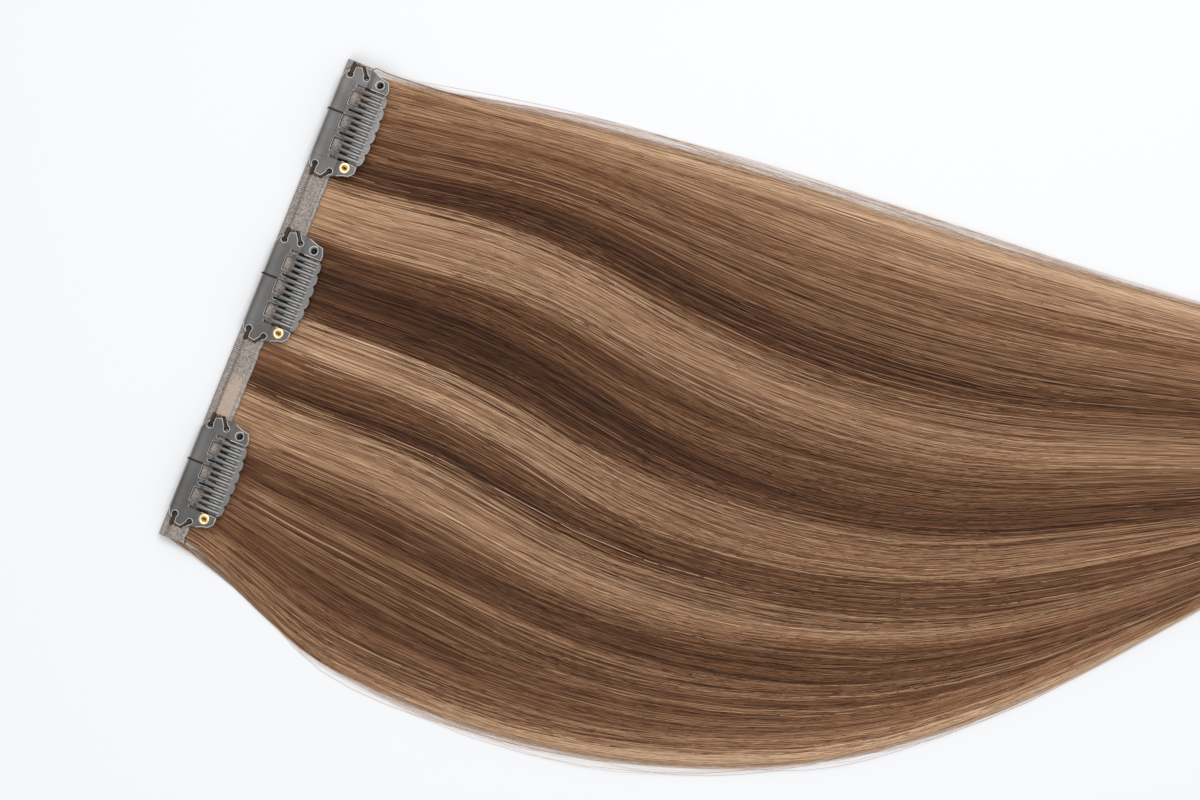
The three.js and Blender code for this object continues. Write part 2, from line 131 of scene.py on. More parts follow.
# Dyed streaks from the lower to the upper edge: place across the band from -1 to 1 where the
# streak begins, and its tone at the root and far along, from dark brown 0 to pale blonde 1
STREAKS = (
    (-1.05, 0.62, 0.72),
    (-0.97, 0.42, 0.55),
    (-0.90, 0.30, 0.38),
    (-0.74, 0.38, 0.42),
    (-0.65, 0.30, 0.28),
    (-0.60, 0.24, 0.27),
    (-0.54, 0.62, 0.36),
    (-0.50, 0.76, 0.56),
    (-0.36, 0.12, 0.20),
    (-0.27, 0.32, 0.28),
    (-0.15, 0.80, 0.54),
    (-0.02, 0.14, 0.56),
    (0.04, 0.05, 0.22),
    (0.20, 0.20, 0.36),
    (0.25, 0.40, 0.42),
    (0.32, 0.72, 0.50),
    (0.38, 0.74, 0.64),
    (0.47, 0.70, 0.56),
    (0.53, 0.16, 0.34),
    (0.56, 0.06, 0.10),
    (0.63, 0.18, 0.36),
    (0.68, 0.34, 0.46),
    (0.82, 0.42, 0.50),
    (0.90, 0.56, 0.70),
    (0.97, 0.78, 0.82),
)
STREAK_BLEND = 0.018


def length_property(name, description, default_mm):
    """A length with its default given in mm."""
    return FloatProperty(
        name=name, description=description, default=default_mm * MM, unit="LENGTH")


class ExtensionSizes(bpy.types.PropertyGroup):
    """Sizes of the visible parts"""

    strand_count: IntProperty(
        name="Strands", description="Strands in each layer of the fall", default=1700, min=100)
    strand_points: IntProperty(
        name="Points per strand", description="Points along a strand", default=16, min=6)
    strand_radius: length_property("Strand radius", "Radius of a strand of a few hairs", 0.11)
    flyaway_count: IntProperty(
        name="Flyaways", description="Loose fine strands along the edges", default=1100)
    flyaway_radius: length_property("Flyaway radius", "Radius of a loose fine strand", 0.05)
    thread_radius: length_property("Thread radius", "Radius of the sewing thread", 0.2)
    stitch_pitch: length_property("Stitch pitch", "Spacing of the stitches of the seam", 0.8)
    rim_radius: length_property("Rim radius", "Radius of the pressed rims of the plates", 0.17)
    rod_half_width: length_property("Rods", "Half width of the combs' raised rods", 0.43)
    tongue_half_width: length_property("Tongues", "Half width between the rods", 0.25)
    weave_pitch: length_property("Weave pitch", "Spacing of the band's threads", 0.60)
    plate_bevel: length_property("Plate edge", "Rounding of the stamped plates", 0.09)
    comb_bevel: length_property("Tooth edge", "Rounding of the combs' teeth", 0.16)


def colour_property(name, description, default):
    """A linear colour."""
    return FloatVectorProperty(
        name=name, description=description, default=default, subtype="COLOR", size=3,
        min=0.0, max=1.0)


class ExtensionColours(bpy.types.PropertyGroup):
    """Colours of the visible parts, linear"""

    hair_dark: colour_property("Dark hair", "Darkest streaks", (0.050, 0.016, 0.006))
    hair_brown: colour_property("Brown hair", "Medium streaks", (0.229, 0.095, 0.039))
    hair_blonde: colour_property("Blonde hair", "Blonde streaks", (0.53, 0.32, 0.18))
    hair_pale: colour_property("Pale hair", "Palest edge strands", (0.76, 0.53, 0.35))
    band_dark: colour_property("Band weft", "Darker threads of the band", (0.115, 0.098, 0.088))
    band_light: colour_property("Band warp", "Lighter threads of the band", (0.47, 0.405, 0.365))
    band_beige: colour_property("Band patch", "Beige stretches of the band", (0.55, 0.40, 0.32))
    steel: colour_property("Clip steel", "Dark grey coated steel", (0.132, 0.127, 0.123))
    # The colour that the clips' painted highlights mix towards
    steel_highlight: colour_property("Worn steel", "Bare edges of the clips", (0.50, 0.49, 0.48))
    comb_steel: colour_property("Comb steel", "Lighter steel of the combs", (0.165, 0.16, 0.155))
    brass: colour_property("Brass", "Eyelets", (0.96, 0.73, 0.41))
    thread: colour_property("Thread", "Sewing thread", (0.022, 0.013, 0.010))
    thread_pale: colour_property("Pale thread", "Palest sewing threads", (0.21, 0.145, 0.10))
    floor: colour_property("Floor", "The pale surface", (0.86, 0.87, 0.885))


def sizes():
    return bpy.context.scene.extension_sizes


def colours():
    return bpy.context.scene.extension_colours


# Shared mesh code


def place(x, y, z):
    """A point given from the band's back edge and middle, in the frame."""
    return Vector((BACK_X + x, MIDDLE_Y + y, z))


def add_object(name, mesh, material=None, body=BODY, smooth=True):
    """A visible piece of a mesh, on its body and in its material slot."""
    obj = bpy.data.objects.new(name, mesh)
    bpy.context.scene.collection.objects.link(obj)
    if material is not None:
        mesh.materials.clear()
        mesh.materials.append(material)
    if smooth:
        mesh.shade_smooth()
    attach(obj, body)
    return obj


def mesh_from(name, points, faces):
    mesh = bpy.data.meshes.new(name)
    mesh.from_pydata([tuple(p) for p in points], [], faces)
    mesh.update()
    return mesh


def fix_normals(mesh):
    """Turns a closed mesh's faces outwards."""
    shape = bmesh.new()
    shape.from_mesh(mesh)
    bmesh.ops.recalc_face_normals(shape, faces=shape.faces)
    shape.to_mesh(mesh)
    shape.free()
    mesh.update()


def closed_skin(name, points):
    """A closed mesh over rows of points, each row a ring, with both ends filled."""
    rows, n = points.shape[:2]
    faces = [
        (r * n + k, r * n + (k + 1) % n, (r + 1) * n + (k + 1) % n, (r + 1) * n + k)
        for r in range(rows - 1) for k in range(n)
    ]
    faces.append(tuple(range(n))[::-1])
    faces.append(tuple((rows - 1) * n + k for k in range(n)))
    mesh = mesh_from(name, points.reshape(-1, 3), faces)
    fix_normals(mesh)
    return mesh


def merged_cad(node):
    """A CAD node's own solid as a shape to edit, its loose triangles made whole faces."""
    shape = bmesh.new()
    shape.from_mesh(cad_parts[node].data)
    bmesh.ops.remove_doubles(shape, verts=shape.verts, dist=MERGE_WITHIN)
    bmesh.ops.dissolve_limit(
        shape, angle_limit=FLAT_WITHIN, verts=shape.verts, edges=shape.edges)
    return shape


def smoothstep(value, low, high):
    t = np.clip((value - low) / (high - low), 0.0, 1.0)
    return t * t * (3 - 2 * t)


def ripple(across, along, seed, waves=5, across_scale=4.0, along_scale=3.0):
    """Smooth seeded unevenness over the fall, from about -1 to 1."""
    rng = np.random.default_rng(seed)
    total = np.zeros(np.broadcast(across, along).shape)
    for wave in range(waves):
        fine = 1 + 0.6 * wave
        a, b = rng.normal(0, across_scale * fine), rng.normal(0, along_scale * fine)
        total = total + np.sin(a * across + b * along + rng.uniform(0, math.tau)) / fine
    return total / 2.0


def read_sections(share):
    """The fall's sections, read smoothly at shares of the hair's length."""
    rows = np.array(FALL)
    at, values = rows[:, 0], rows[:, 1:]
    slopes = np.gradient(values, at, axis=0)
    share = np.asarray(share, float)
    i = np.clip(np.searchsorted(at, share) - 1, 0, len(at) - 2)
    span = (at[i + 1] - at[i])[..., None]
    t = (share - at[i])[..., None] / span
    value = (
        (1 + 2 * t) * (1 - t) ** 2 * values[i]
        + t * (1 - t) ** 2 * span * slopes[i]
        + t * t * (3 - 2 * t) * values[i + 1]
        + t * t * (t - 1) * span * slopes[i + 1]
    )
    return dict(zip(FALL_COLUMNS[1:], np.moveaxis(value, -1, 0)))


def thickness(share, across):
    """Height of the hair over its underside."""
    section = read_sections(np.clip(share, 0, 1))
    lock = (across + 1) / 2 * LOCK_COUNT
    crease = 1 - 0.13 * np.abs(np.cos(math.pi * lock)) ** 3
    rim = 1 - 0.55 * np.clip(np.abs(across), 0, 1.05) ** 6
    seated = smoothstep(share, 0, 0.05)
    full = section["crown"] * HAIR_HEIGHT * crease * rim * (1 - 0.12 * np.abs(across) ** 3)
    full = full * (1 - 0.5 * smoothstep(share, 0.8, 1.0))
    return ROOT_THICKNESS * (1 - seated) + full * seated


def fall_point(share, across, up):
    """Points of the fall: share along a strand, place across from -1 to 1, height from 0 to 1."""
    section = read_sections(np.clip(share, 0, 1))
    turn = np.radians(section["turn"])
    half = section["spread"] * BAND_HALF
    inside = np.minimum(share, 0) * HAIR_LENGTH
    x = BAND_WIDTH + GAP + section["x"] * HAIR_LENGTH + np.sin(turn) * across * half + inside
    y = section["y"] * HAIR_LENGTH + np.cos(turn) * across * half
    bottom = ROOT_BOTTOM * (1 - smoothstep(share, 0, 0.05))
    z = bottom + up * thickness(share, across)
    return np.stack([BACK_X + x, MIDDLE_Y + y, z], -1)


def drifted(share, across):
    """Where a strand that leaves the band at a place across lies further along the fall."""
    section = read_sections(np.clip(share, 0, 1))
    upper = smoothstep(across, -0.45, 0.05)
    drift = section["drift_low"] + (section["drift_high"] - section["drift_low"]) * upper
    return across + drift * (1 - np.clip(np.abs(across), 0, 1) ** 3.5)


def tone_at(share, across):
    """The dye's tone of the strands that leave the band at a place across it."""
    starts, roots, fars = np.array(STREAKS).T
    tone = []
    for tones in (roots, fars):
        steps = [
            (after - before) * smoothstep(across, start - STREAK_BLEND, start + STREAK_BLEND)
            for start, before, after in zip(starts[1:], tones[:-1], tones[1:])
        ]
        tone.append(tones[0] + sum(steps))
    return tone[0] + (tone[1] - tone[0]) * smoothstep(share, 0.12, 0.5)


def fibre_run(root, share):
    """Where the fibres' noise is read: fast across the strands and slowly along them."""
    return np.stack(np.broadcast_arrays(root * 700, share * 5, np.zeros_like(share)), -1)


# Materials


class Wires:
    """Short ways to add nodes to a material's tree or a group's."""

    def __init__(self, tree):
        self.nodes = tree.nodes
        self.links = tree.links

    def feed(self, socket, value):
        """Sets a socket to a value, or links another node's socket to it."""
        if isinstance(value, bpy.types.NodeSocket):
            self.links.new(value, socket)
        else:
            socket.default_value = value

    def node(self, kind, inputs=(), **settings):
        """A new node with its settings made and its inputs fed."""
        node = self.nodes.new(kind)
        for key, value in settings.items():
            setattr(node, key, value)
        for key, value in dict(inputs).items():
            self.feed(node.inputs[key], value)
        return node

    def maths(self, operation, *values, **settings):
        inputs = dict(enumerate(values))
        return self.node("ShaderNodeMath", inputs, operation=operation, **settings).outputs[0]

    def noise(self, where, scale, detail=2.0):
        inputs = {"Vector": where, "Scale": scale, "Detail": detail}
        return self.node("ShaderNodeTexNoise", inputs).outputs["Fac"]

    def attribute(self, name, output="Fac"):
        return self.node("ShaderNodeAttribute", attribute_name=name).outputs[output]

    def position(self):
        return self.node("ShaderNodeTexCoord").outputs["Object"]

    def ramp(self, value, stops):
        node = self.node("ShaderNodeValToRGB", {"Fac": value})
        elements = node.color_ramp.elements
        while len(elements) > 1:
            elements.remove(elements[-1])
        elements[0].position = stops[0][0]
        elements[0].color = (*stops[0][1], 1)
        for position, colour in stops[1:]:
            elements.new(position).color = (*colour, 1)
        return node.outputs["Color"]

    def levels(self, value, stops):
        """A ramp of light and dark, from places and levels."""
        return self.ramp(value, [(at, (level, level, level)) for at, level in stops])

    def mix(self, factor, first, second, blend="MIX"):
        node = self.node("ShaderNodeMix", data_type="RGBA", blend_type=blend)
        for key, value in (("Factor", factor), ("A", first), ("B", second)):
            self.feed(node.inputs[key], value)
        return node.outputs["Result"]

    def bump(self, height, strength, distance):
        inputs = {"Height": height, "Strength": strength, "Distance": distance}
        return self.node("ShaderNodeBump", inputs).outputs["Normal"]


def new_material(name):
    """A material, the wires of its tree and the inputs of its shader."""
    material = bpy.data.materials.new(name)
    material.use_nodes = True
    tree = material.node_tree
    return material, Wires(tree), tree.nodes["Principled BSDF"].inputs


SOCKETS = {
    "value": "NodeSocketFloat",
    "vector": "NodeSocketVector",
    "colour": "NodeSocketColor",
}


def new_group(name, inputs, outputs):
    """A shader node group: its tree, its wires, and the sockets inside it by name."""
    tree = bpy.data.node_groups.new(name, "ShaderNodeTree")
    for in_out, sockets in (("INPUT", inputs), ("OUTPUT", outputs)):
        for socket, kind in sockets.items():
            tree.interface.new_socket(socket, in_out=in_out, socket_type=SOCKETS[kind])
    wires = Wires(tree)
    given = wires.node("NodeGroupInput").outputs
    made = wires.node("NodeGroupOutput").inputs
    return tree, wires, given, made


FIBRE_SCALE = 1.0
FIBRE_DETAIL = 3.0
BROWN_AT, BLONDE_AT = 0.38, 0.75


def strand_dye():
    """The group that dyes strands by their tone, with fibres that run along them, and multiplies the
    dye by a factor of painted light and shade.
    """
    c = colours()
    tree, wires, given, made = new_group(
        "strand_dye",
        {"Tone": "value", "Run": "vector", "Fibre": "value", "Painted light and shade": "colour"},
        {"Colour": "colour", "Roughness": "value"})
    noise = wires.noise(given["Run"], FIBRE_SCALE, FIBRE_DETAIL)
    middle = wires.maths("SUBTRACT", noise, 0.5)
    tone = wires.maths("MULTIPLY_ADD", middle, given["Fibre"], given["Tone"])
    dye = wires.ramp(tone, (
        (0.0, c.hair_dark),
        (BROWN_AT, c.hair_brown),
        (BLONDE_AT, c.hair_blonde),
        (1.0, c.hair_pale),
    ))
    # Painted light and shade: the dye times a factor, below 1 for painted shade and above 1 for painted
    # light
    wires.feed(made["Colour"], wires.mix(1.0, dye, given["Painted light and shade"], "MULTIPLY"))
    wires.feed(made["Roughness"], wires.maths("MULTIPLY_ADD", noise, 0.2, 0.36))
    return tree


def hair_material(name, painted_light_factor=1.0, fibre=0.12):
    """Hair of the tone and the fibre run that its mesh carries, its colour multiplied by a factor:
    below 1 for painted shade, above 1 for painted light.
    """
    material, wires, shader = new_material(name)
    tree = bpy.data.node_groups.get("strand_dye") or strand_dye()
    dye = wires.node("ShaderNodeGroup", node_tree=tree)
    for key, value in (
            ("Tone", wires.attribute("tone")),
            ("Run", wires.attribute("run", "Vector")),
            ("Fibre", fibre),
            ("Painted light and shade", (painted_light_factor, painted_light_factor, painted_light_factor, 1))):
        wires.feed(dye.inputs[key], value)
    wires.feed(shader["Base Color"], dye.outputs["Colour"])
    wires.feed(shader["Roughness"], dye.outputs["Roughness"])
    shader["Specular IOR Level"].default_value = 0.22
    return material


def write_attribute(mesh, name, values, kind="FLOAT"):
    """Gives a mesh's points an attribute."""
    layer = mesh.attributes.new(name, kind, "POINT")
    key = "vector" if kind == "FLOAT_VECTOR" else "value"
    layer.data.foreach_set(key, np.ascontiguousarray(values, np.float32).ravel())


# Geometry Nodes


def tube_tree(name, material, sides, flatten):
    """A node tree that gives guide lines a round or flattened section and closed ends."""
    tree = bpy.data.node_groups.new(name, "GeometryNodeTree")
    interface = tree.interface
    interface.new_socket("Guides", in_out="INPUT", socket_type="NodeSocketGeometry")
    width = interface.new_socket("Radius", in_out="INPUT", socket_type="NodeSocketFloat")
    interface.new_socket("Tubes", in_out="OUTPUT", socket_type="NodeSocketGeometry")
    wires = Wires(tree)
    given = wires.node("NodeGroupInput").outputs
    made = wires.node("NodeGroupOutput").inputs
    curves = wires.node("GeometryNodeMeshToCurve", {"Mesh": given["Guides"]})
    taper = wires.node("GeometryNodeInputNamedAttribute", data_type="FLOAT")
    taper.inputs["Name"].default_value = "taper"
    radius = wires.maths("MULTIPLY", taper.outputs["Attribute"], given["Radius"])
    sized = wires.node(
        "GeometryNodeSetCurveRadius", {"Curve": curves.outputs["Curve"], "Radius": radius})
    ring = wires.node("GeometryNodeCurvePrimitiveCircle", {"Resolution": sides, "Radius": 1.0})
    squash = wires.node(
        "GeometryNodeTransform",
        {"Geometry": ring.outputs["Curve"], "Scale": (1.0, flatten, 1.0)})
    sweep = wires.node("GeometryNodeCurveToMesh", {
        "Curve": sized.outputs["Curve"],
        "Profile Curve": squash.outputs["Geometry"],
        "Fill Caps": True,
    })
    if "Scale" in sweep.inputs:
        wires.feed(sweep.inputs["Scale"], radius)
    realize = wires.node("GeometryNodeRealizeInstances", {"Geometry": sweep.outputs["Mesh"]})
    dress = wires.node("GeometryNodeSetMaterial", {"Geometry": realize.outputs["Geometry"]})
    if material is not None:
        dress.inputs["Material"].default_value = material
    wires.feed(made["Tubes"], dress.outputs["Geometry"])
    return tree, width.identifier


def tubes(name, lines, radius, material, sides=3, flatten=1.0):
    """Guide lines made into a mesh of closed tubes. The lines are equally long: points, taper
    and the attributes to carry, each with a row for every line."""
    count, steps = lines["points"].shape[:2]
    first = (np.arange(count)[:, None] * steps + np.arange(steps - 1)[None, :]).ravel()
    return swept(name, lines, np.stack([first, first + 1], 1), radius, material, sides, flatten)


def swept(name, lines, edges, radius, material, sides=3, flatten=1.0):
    """A mesh of tubes along edges, which join the points of lines."""
    guide = bpy.data.meshes.new(name + "_guide")
    points = lines["points"].reshape(-1, 3)
    guide.vertices.add(len(points))
    guide.vertices.foreach_set("co", points.astype(np.float32).ravel())
    guide.edges.add(len(edges))
    guide.edges.foreach_set("vertices", np.asarray(edges, np.int32).ravel())
    for key, values in lines.items():
        if key != "points":
            vectors = values.shape[-1] == 3 and values.ndim == lines["points"].ndim
            write_attribute(guide, key, values, "FLOAT_VECTOR" if vectors else "FLOAT")
    guide.update()
    obj = bpy.data.objects.new(name + "_guide", guide)
    bpy.context.scene.collection.objects.link(obj)
    tree, radius_socket = tube_tree(name + "_tubes", material, sides, flatten)
    modifier = obj.modifiers.new("tubes", "NODES")
    modifier.node_group = tree
    modifier[radius_socket] = float(radius)
    evaluated = obj.evaluated_get(bpy.context.evaluated_depsgraph_get())
    mesh = bpy.data.meshes.new_from_object(evaluated)
    mesh.name = name
    bpy.data.objects.remove(obj)
    bpy.data.meshes.remove(guide)
    return mesh


def line_rows(rows):
    """Lines of one length, as tubes takes them."""
    points = np.array([[tuple(p) for p in row] for row in rows])
    return {"points": points, "taper": np.ones(points.shape[:2])}


def joined(name, meshes):
    """Several meshes as one, with their point and face attributes."""
    shape = bmesh.new()
    for mesh in meshes:
        shape.from_mesh(mesh)
    whole = bpy.data.meshes.new(name)
    shape.to_mesh(whole)
    shape.free()
    for mesh in meshes:
        bpy.data.meshes.remove(mesh)
    return whole


# Hair

# The hair bed's colour is darkened as painted shade for the deep gaps between the strands
BED_PAINTED_SHADE, BED_FIBRE = 0.55, 0.5
# The flyaways' colour is lightened as painted light through the thin hair
FLYAWAY_PAINTED_LIGHT = 1.2

# Layers of strands: the lowest and the highest place of each in the hair's height, and 1 where
# more than half of its strands gather at the two edges
LAYERS = (
    (0.80, 0.98, 0.0),
    (0.80, 0.98, 0.0),
    (0.78, 0.97, 0.0),
    (0.76, 0.96, 0.0),
    (0.04, 0.90, 1.0),
)

# How strands end short of the tips, by lock and each on its own, in shares of their length; how
# they clump, wander and stray sideways, in half widths; and how much each one's tone differs
LOCK_SHORTFALL = 0.075
OWN_SHORTFALL = 0.035
CLUMP = 0.022
WANDER = 0.016
STRAY, STEADY, STRAY_SHARE = 0.07, 0.018, 0.22
TIP_GATHER = 0.45
TONE_SPREAD = 0.14
EDGE_SHARE = 0.55
LOWEST = 0.15 * MM
ROOT_INSIDE = 0.009


def strand_lines(count, steps, layer, seed):
    """Centre lines of strands that follow the fall, with their colour and taper."""
    low, high, edge = LAYERS[layer]
    rng = np.random.default_rng(seed)
    root = -1 + 2 * (rng.permutation(count) + rng.uniform(0, 1, count)) / count
    if edge:
        side = np.sign(root)
        outer = side * (1.0 - 0.06 * rng.uniform(0, 1, count) ** 2)
        root = np.where(rng.uniform(0, 1, count) < EDGE_SHARE, outer, root)
    root = root[:, None]
    lock = np.clip(np.floor((root + 1) / 2 * LOCK_COUNT), 0, LOCK_COUNT - 1)
    centre = -1 + (lock + 0.5) * 2 / LOCK_COUNT
    reach = 1 - LOCK_SHORTFALL * (0.5 + 0.5 * np.sin(2.4 * lock))
    reach = reach - np.abs(rng.normal(0, OWN_SHORTFALL, (count, 1)))
    along = np.linspace(0, 1, steps)[None, :] ** rng.uniform(1.05, 1.45, (count, 1))
    share = -ROOT_INSIDE + (reach + ROOT_INSIDE) * along
    loose = smoothstep(share, 0.02, 0.35)
    clump = CLUMP * ripple(root, share, 31, across_scale=12, along_scale=4)
    phase = rng.uniform(0, math.tau, (count, 1))
    own = rng.normal(0, WANDER, (count, 1)) * np.sin(share * rng.uniform(2, 8, (count, 1)) + phase)
    stray = np.where(rng.uniform(0, 1, (count, 1)) < STRAY_SHARE, STRAY, STEADY)
    own = own + stray * rng.normal(0, 1, (count, 1)) * share
    gather = TIP_GATHER * smoothstep(along, 0.74, 1.0)
    across = drifted(share, root) + (centre - root) * gather + (clump + own) * loose
    limit = 0.985 + rng.exponential(0.017, (count, 1)) * smoothstep(share, 0.03, 0.2)
    across = np.clip(across, -limit, limit)
    depth = rng.uniform(0, 1, (count, 1))
    sway = 0.03 * np.sin(share * rng.uniform(3, 10, (count, 1)) + phase)
    sway = sway + 0.045 * ripple(root, share, 61, across_scale=50, along_scale=5)
    up = np.clip(low + (high - low) * depth + sway, 0.03, 0.985)
    points = fall_point(share, across, up)
    points[..., 2] = np.maximum(points[..., 2], LOWEST)
    tone = tone_at(share, root + rng.normal(0, 0.025, (count, 1)))
    tone = tone + 0.085 * ripple(root, share, 41, across_scale=45, along_scale=2)
    tone = tone + 0.06 * ripple(root, share, 43, across_scale=130, along_scale=3)
    tone = tone + rng.normal(0, TONE_SPREAD, (count, 1))
    single = rng.uniform(0, 1, (count, 1))
    tone = tone + 0.25 * (single > 0.94) - 0.2 * (single < 0.08)
    # Strands at the two edges are made paler as painted light, for thin hair lit through from behind
    tone = tone + 0.25 * smoothstep(np.abs(across), 0.93, 1.0) * smoothstep(share, 0.05, 0.3)
    taper = (1 - 0.75 * smoothstep(along, 0.86, 1.0)) * rng.uniform(0.65, 1.15, (count, 1))
    taper = taper * (1 - 0.5 * smoothstep(np.abs(across), 0.97, 1.03))
    return {
        "points": points,
        "taper": taper,
        "tone": np.clip(tone, 0, 1),
        "run": fibre_run(root, share),
    }


# Flyaways: how many lie along the upper edge and on top, how far they stand off the edges in half
# widths, and their tone, a pale blonde that is partly painted light for the light through the thin hair
UPPER_SHARE, TOP_SHARE = 0.62, 0.22
STAND_OFF, FARTHEST_OFF = 0.018, 0.062
FLYAWAY_TONE = 0.72
FLYAWAY_POINTS = 12
FLYAWAY_LOWEST = 0.1 * MM


def flyaway_lines(count, steps, seed):
    """Loose fine strands that stand off the two edges and cross the top."""
    rng = np.random.default_rng(seed)
    side = np.where(rng.uniform(0, 1, (count, 1)) < UPPER_SHARE, 1.0, -1.0)
    top = rng.uniform(0, 1, (count, 1)) < TOP_SHARE
    root = np.where(top, rng.uniform(-0.9, 0.9, (count, 1)),
                    side * rng.uniform(0.94, 1.0, (count, 1)))
    start = rng.uniform(0.0, 0.55, (count, 1))
    length = rng.uniform(0.25, 0.6, (count, 1))
    along = np.linspace(0, 1, steps)[None, :]
    share = np.minimum(start + length * along, 0.99)
    off = np.minimum(rng.exponential(STAND_OFF, (count, 1)), FARTHEST_OFF)
    off = off * np.sin(math.pi * along ** 0.8)
    cross = rng.normal(0, 0.05, (count, 1)) * (along - 0.3)
    across = drifted(share, root) + np.where(top, cross, side * off)
    up = np.where(top, 1.0, rng.uniform(0.15, 0.8, (count, 1)))
    points = fall_point(share, across, up)
    points[..., 2] = np.maximum(points[..., 2], FLYAWAY_LOWEST)
    tone = np.where(top, tone_at(share, root) + 0.15, FLYAWAY_TONE)
    tone = tone + rng.normal(0, 0.1, (count, 1))
    taper = np.sin(math.pi * (0.08 + 0.84 * along)) ** 0.5
    return {
        "points": points,
        "taper": np.broadcast_to(taper, share.shape),
        "tone": np.broadcast_to(np.clip(tone, 0, 1), share.shape),
        "run": fibre_run(root, share),
    }


# Loose strands at the ends of the band: shares along the fall, and how far off its edge they lie
# there in half widths
END_COUNT = 30
END_THICKER = 1.5
LOWER_END = ((0.02, 0.035), (0.05, 0.030), (0.09, 0.022), (0.14, 0.018), (0.20, 0.010), (0.28, 0.0))
UPPER_END = ((0.01, 0.020), (0.03, 0.016), (0.06, 0.012), (0.10, 0.010), (0.16, 0.006), (0.24, 0.0))


def end_lines(count, seed):
    """Loose strands that leave the two ends of the band and join the edges of the fall."""
    rng = np.random.default_rng(seed)
    rows = []
    for k in range(count):
        side = -1 if k % 5 else 1
        table = LOWER_END if side < 0 else UPPER_END
        lean = rng.uniform(0.3, 1.0) if side < 0 else rng.uniform(0.9, 1.05)
        depth = rng.uniform(0.1, 0.7)
        start = rng.uniform(0.35, 0.95) if side < 0 else 0.97
        root = place(start * BAND_WIDTH, side * BAND_HALF * 0.985, rng.uniform(0.4, 0.9) * BAND_TOP)
        outside = place((start + 0.12) * BAND_WIDTH, side * (BAND_HALF + 0.35 * MM * lean), root.z)
        row = [root, outside] + [
            Vector(fall_point(share, side * (0.99 + off * lean), depth)) for share, off in table]
        rows.append(smooth_line(row, 3))
    lines = line_rows(rows)
    shape = lines["points"].shape[:2]
    lines["points"][..., 2] = np.maximum(lines["points"][..., 2], FLYAWAY_LOWEST)
    lines["tone"] = np.broadcast_to(rng.uniform(0.35, 0.8, (count, 1)), shape)
    lines["run"] = lines["points"] / MM
    return lines


class EXTENSION_OT_hair_bed(bpy.types.Operator):
    """Makes the dense inner body of the hair, which the loose strands lie on"""

    bl_idname = "extension.hair_bed"
    bl_label = "Hair bed"

    def execute(self, context):
        half, rows = 75, 120
        upper = [(-1 + 2 * k / half, 0.78) for k in range(half + 1)]
        lower = [(-1 + 2 * k / half, 0.02) for k in range(half - 1, 0, -1)]
        ring = np.array(upper + lower)
        share = np.linspace(-0.008, 0.985, rows)[:, None]
        root = ring[None, :, 0] * (0.975 - 0.025 * smoothstep(share, 0.05, 0.2))
        up = ring[None, :, 1] + 0.03 * ripple(root * 6, share * 2, 5)
        share, root, up = np.broadcast_arrays(share, root, up)
        points = fall_point(share, drifted(share, root), np.clip(up, 0.02, 0.95))
        mesh = closed_skin("hair_bed", points)
        write_attribute(mesh, "tone", np.clip(tone_at(share, root), 0, 1))
        write_attribute(mesh, "run", fibre_run(root, share), "FLOAT_VECTOR")
        # The bed's colour is darkened as painted shade
        material = hair_material("hair_bed", painted_light_factor=BED_PAINTED_SHADE, fibre=BED_FIBRE)
        obj = add_object("hair_bed", mesh, material)
        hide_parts("hair")
        return {"FINISHED"}


class EXTENSION_OT_strands(bpy.types.Operator):
    """Lays the strands along the fall in layers, and the loose ones along its edges"""

    bl_idname = "extension.strands"
    bl_label = "Strands"

    def execute(self, context):
        s = sizes()
        material = hair_material("hair_strands")
        for layer in range(len(LAYERS)):
            name = f"hair_strands_{layer + 1}"
            lines = strand_lines(s.strand_count, s.strand_points, layer, seed=20 + layer)
            mesh = tubes(name, lines, s.strand_radius, material)
            add_object(name, mesh, material)
        # The flyaways' colour is lightened as painted light
        loose = hair_material("hair_flyaways", painted_light_factor=FLYAWAY_PAINTED_LIGHT)
        lines = flyaway_lines(s.flyaway_count, FLYAWAY_POINTS, seed=7)
        mesh = tubes("hair_flyaways", lines, s.flyaway_radius, loose)
        add_object("hair_flyaways", mesh, loose)
        lines = end_lines(END_COUNT, seed=11)
        mesh = tubes("hair_at_ends", lines, END_THICKER * s.flyaway_radius, material)
        add_object("hair_at_ends", mesh, material)
        return {"FINISHED"}


# Band

BAND_ROWS = 300
EDGE_KNOTS = 90
EDGE_WANDER = 0.10 * MM
CLOTH_SLACK = 0.06 * MM
CLOTH_BEVEL = 0.16 * MM


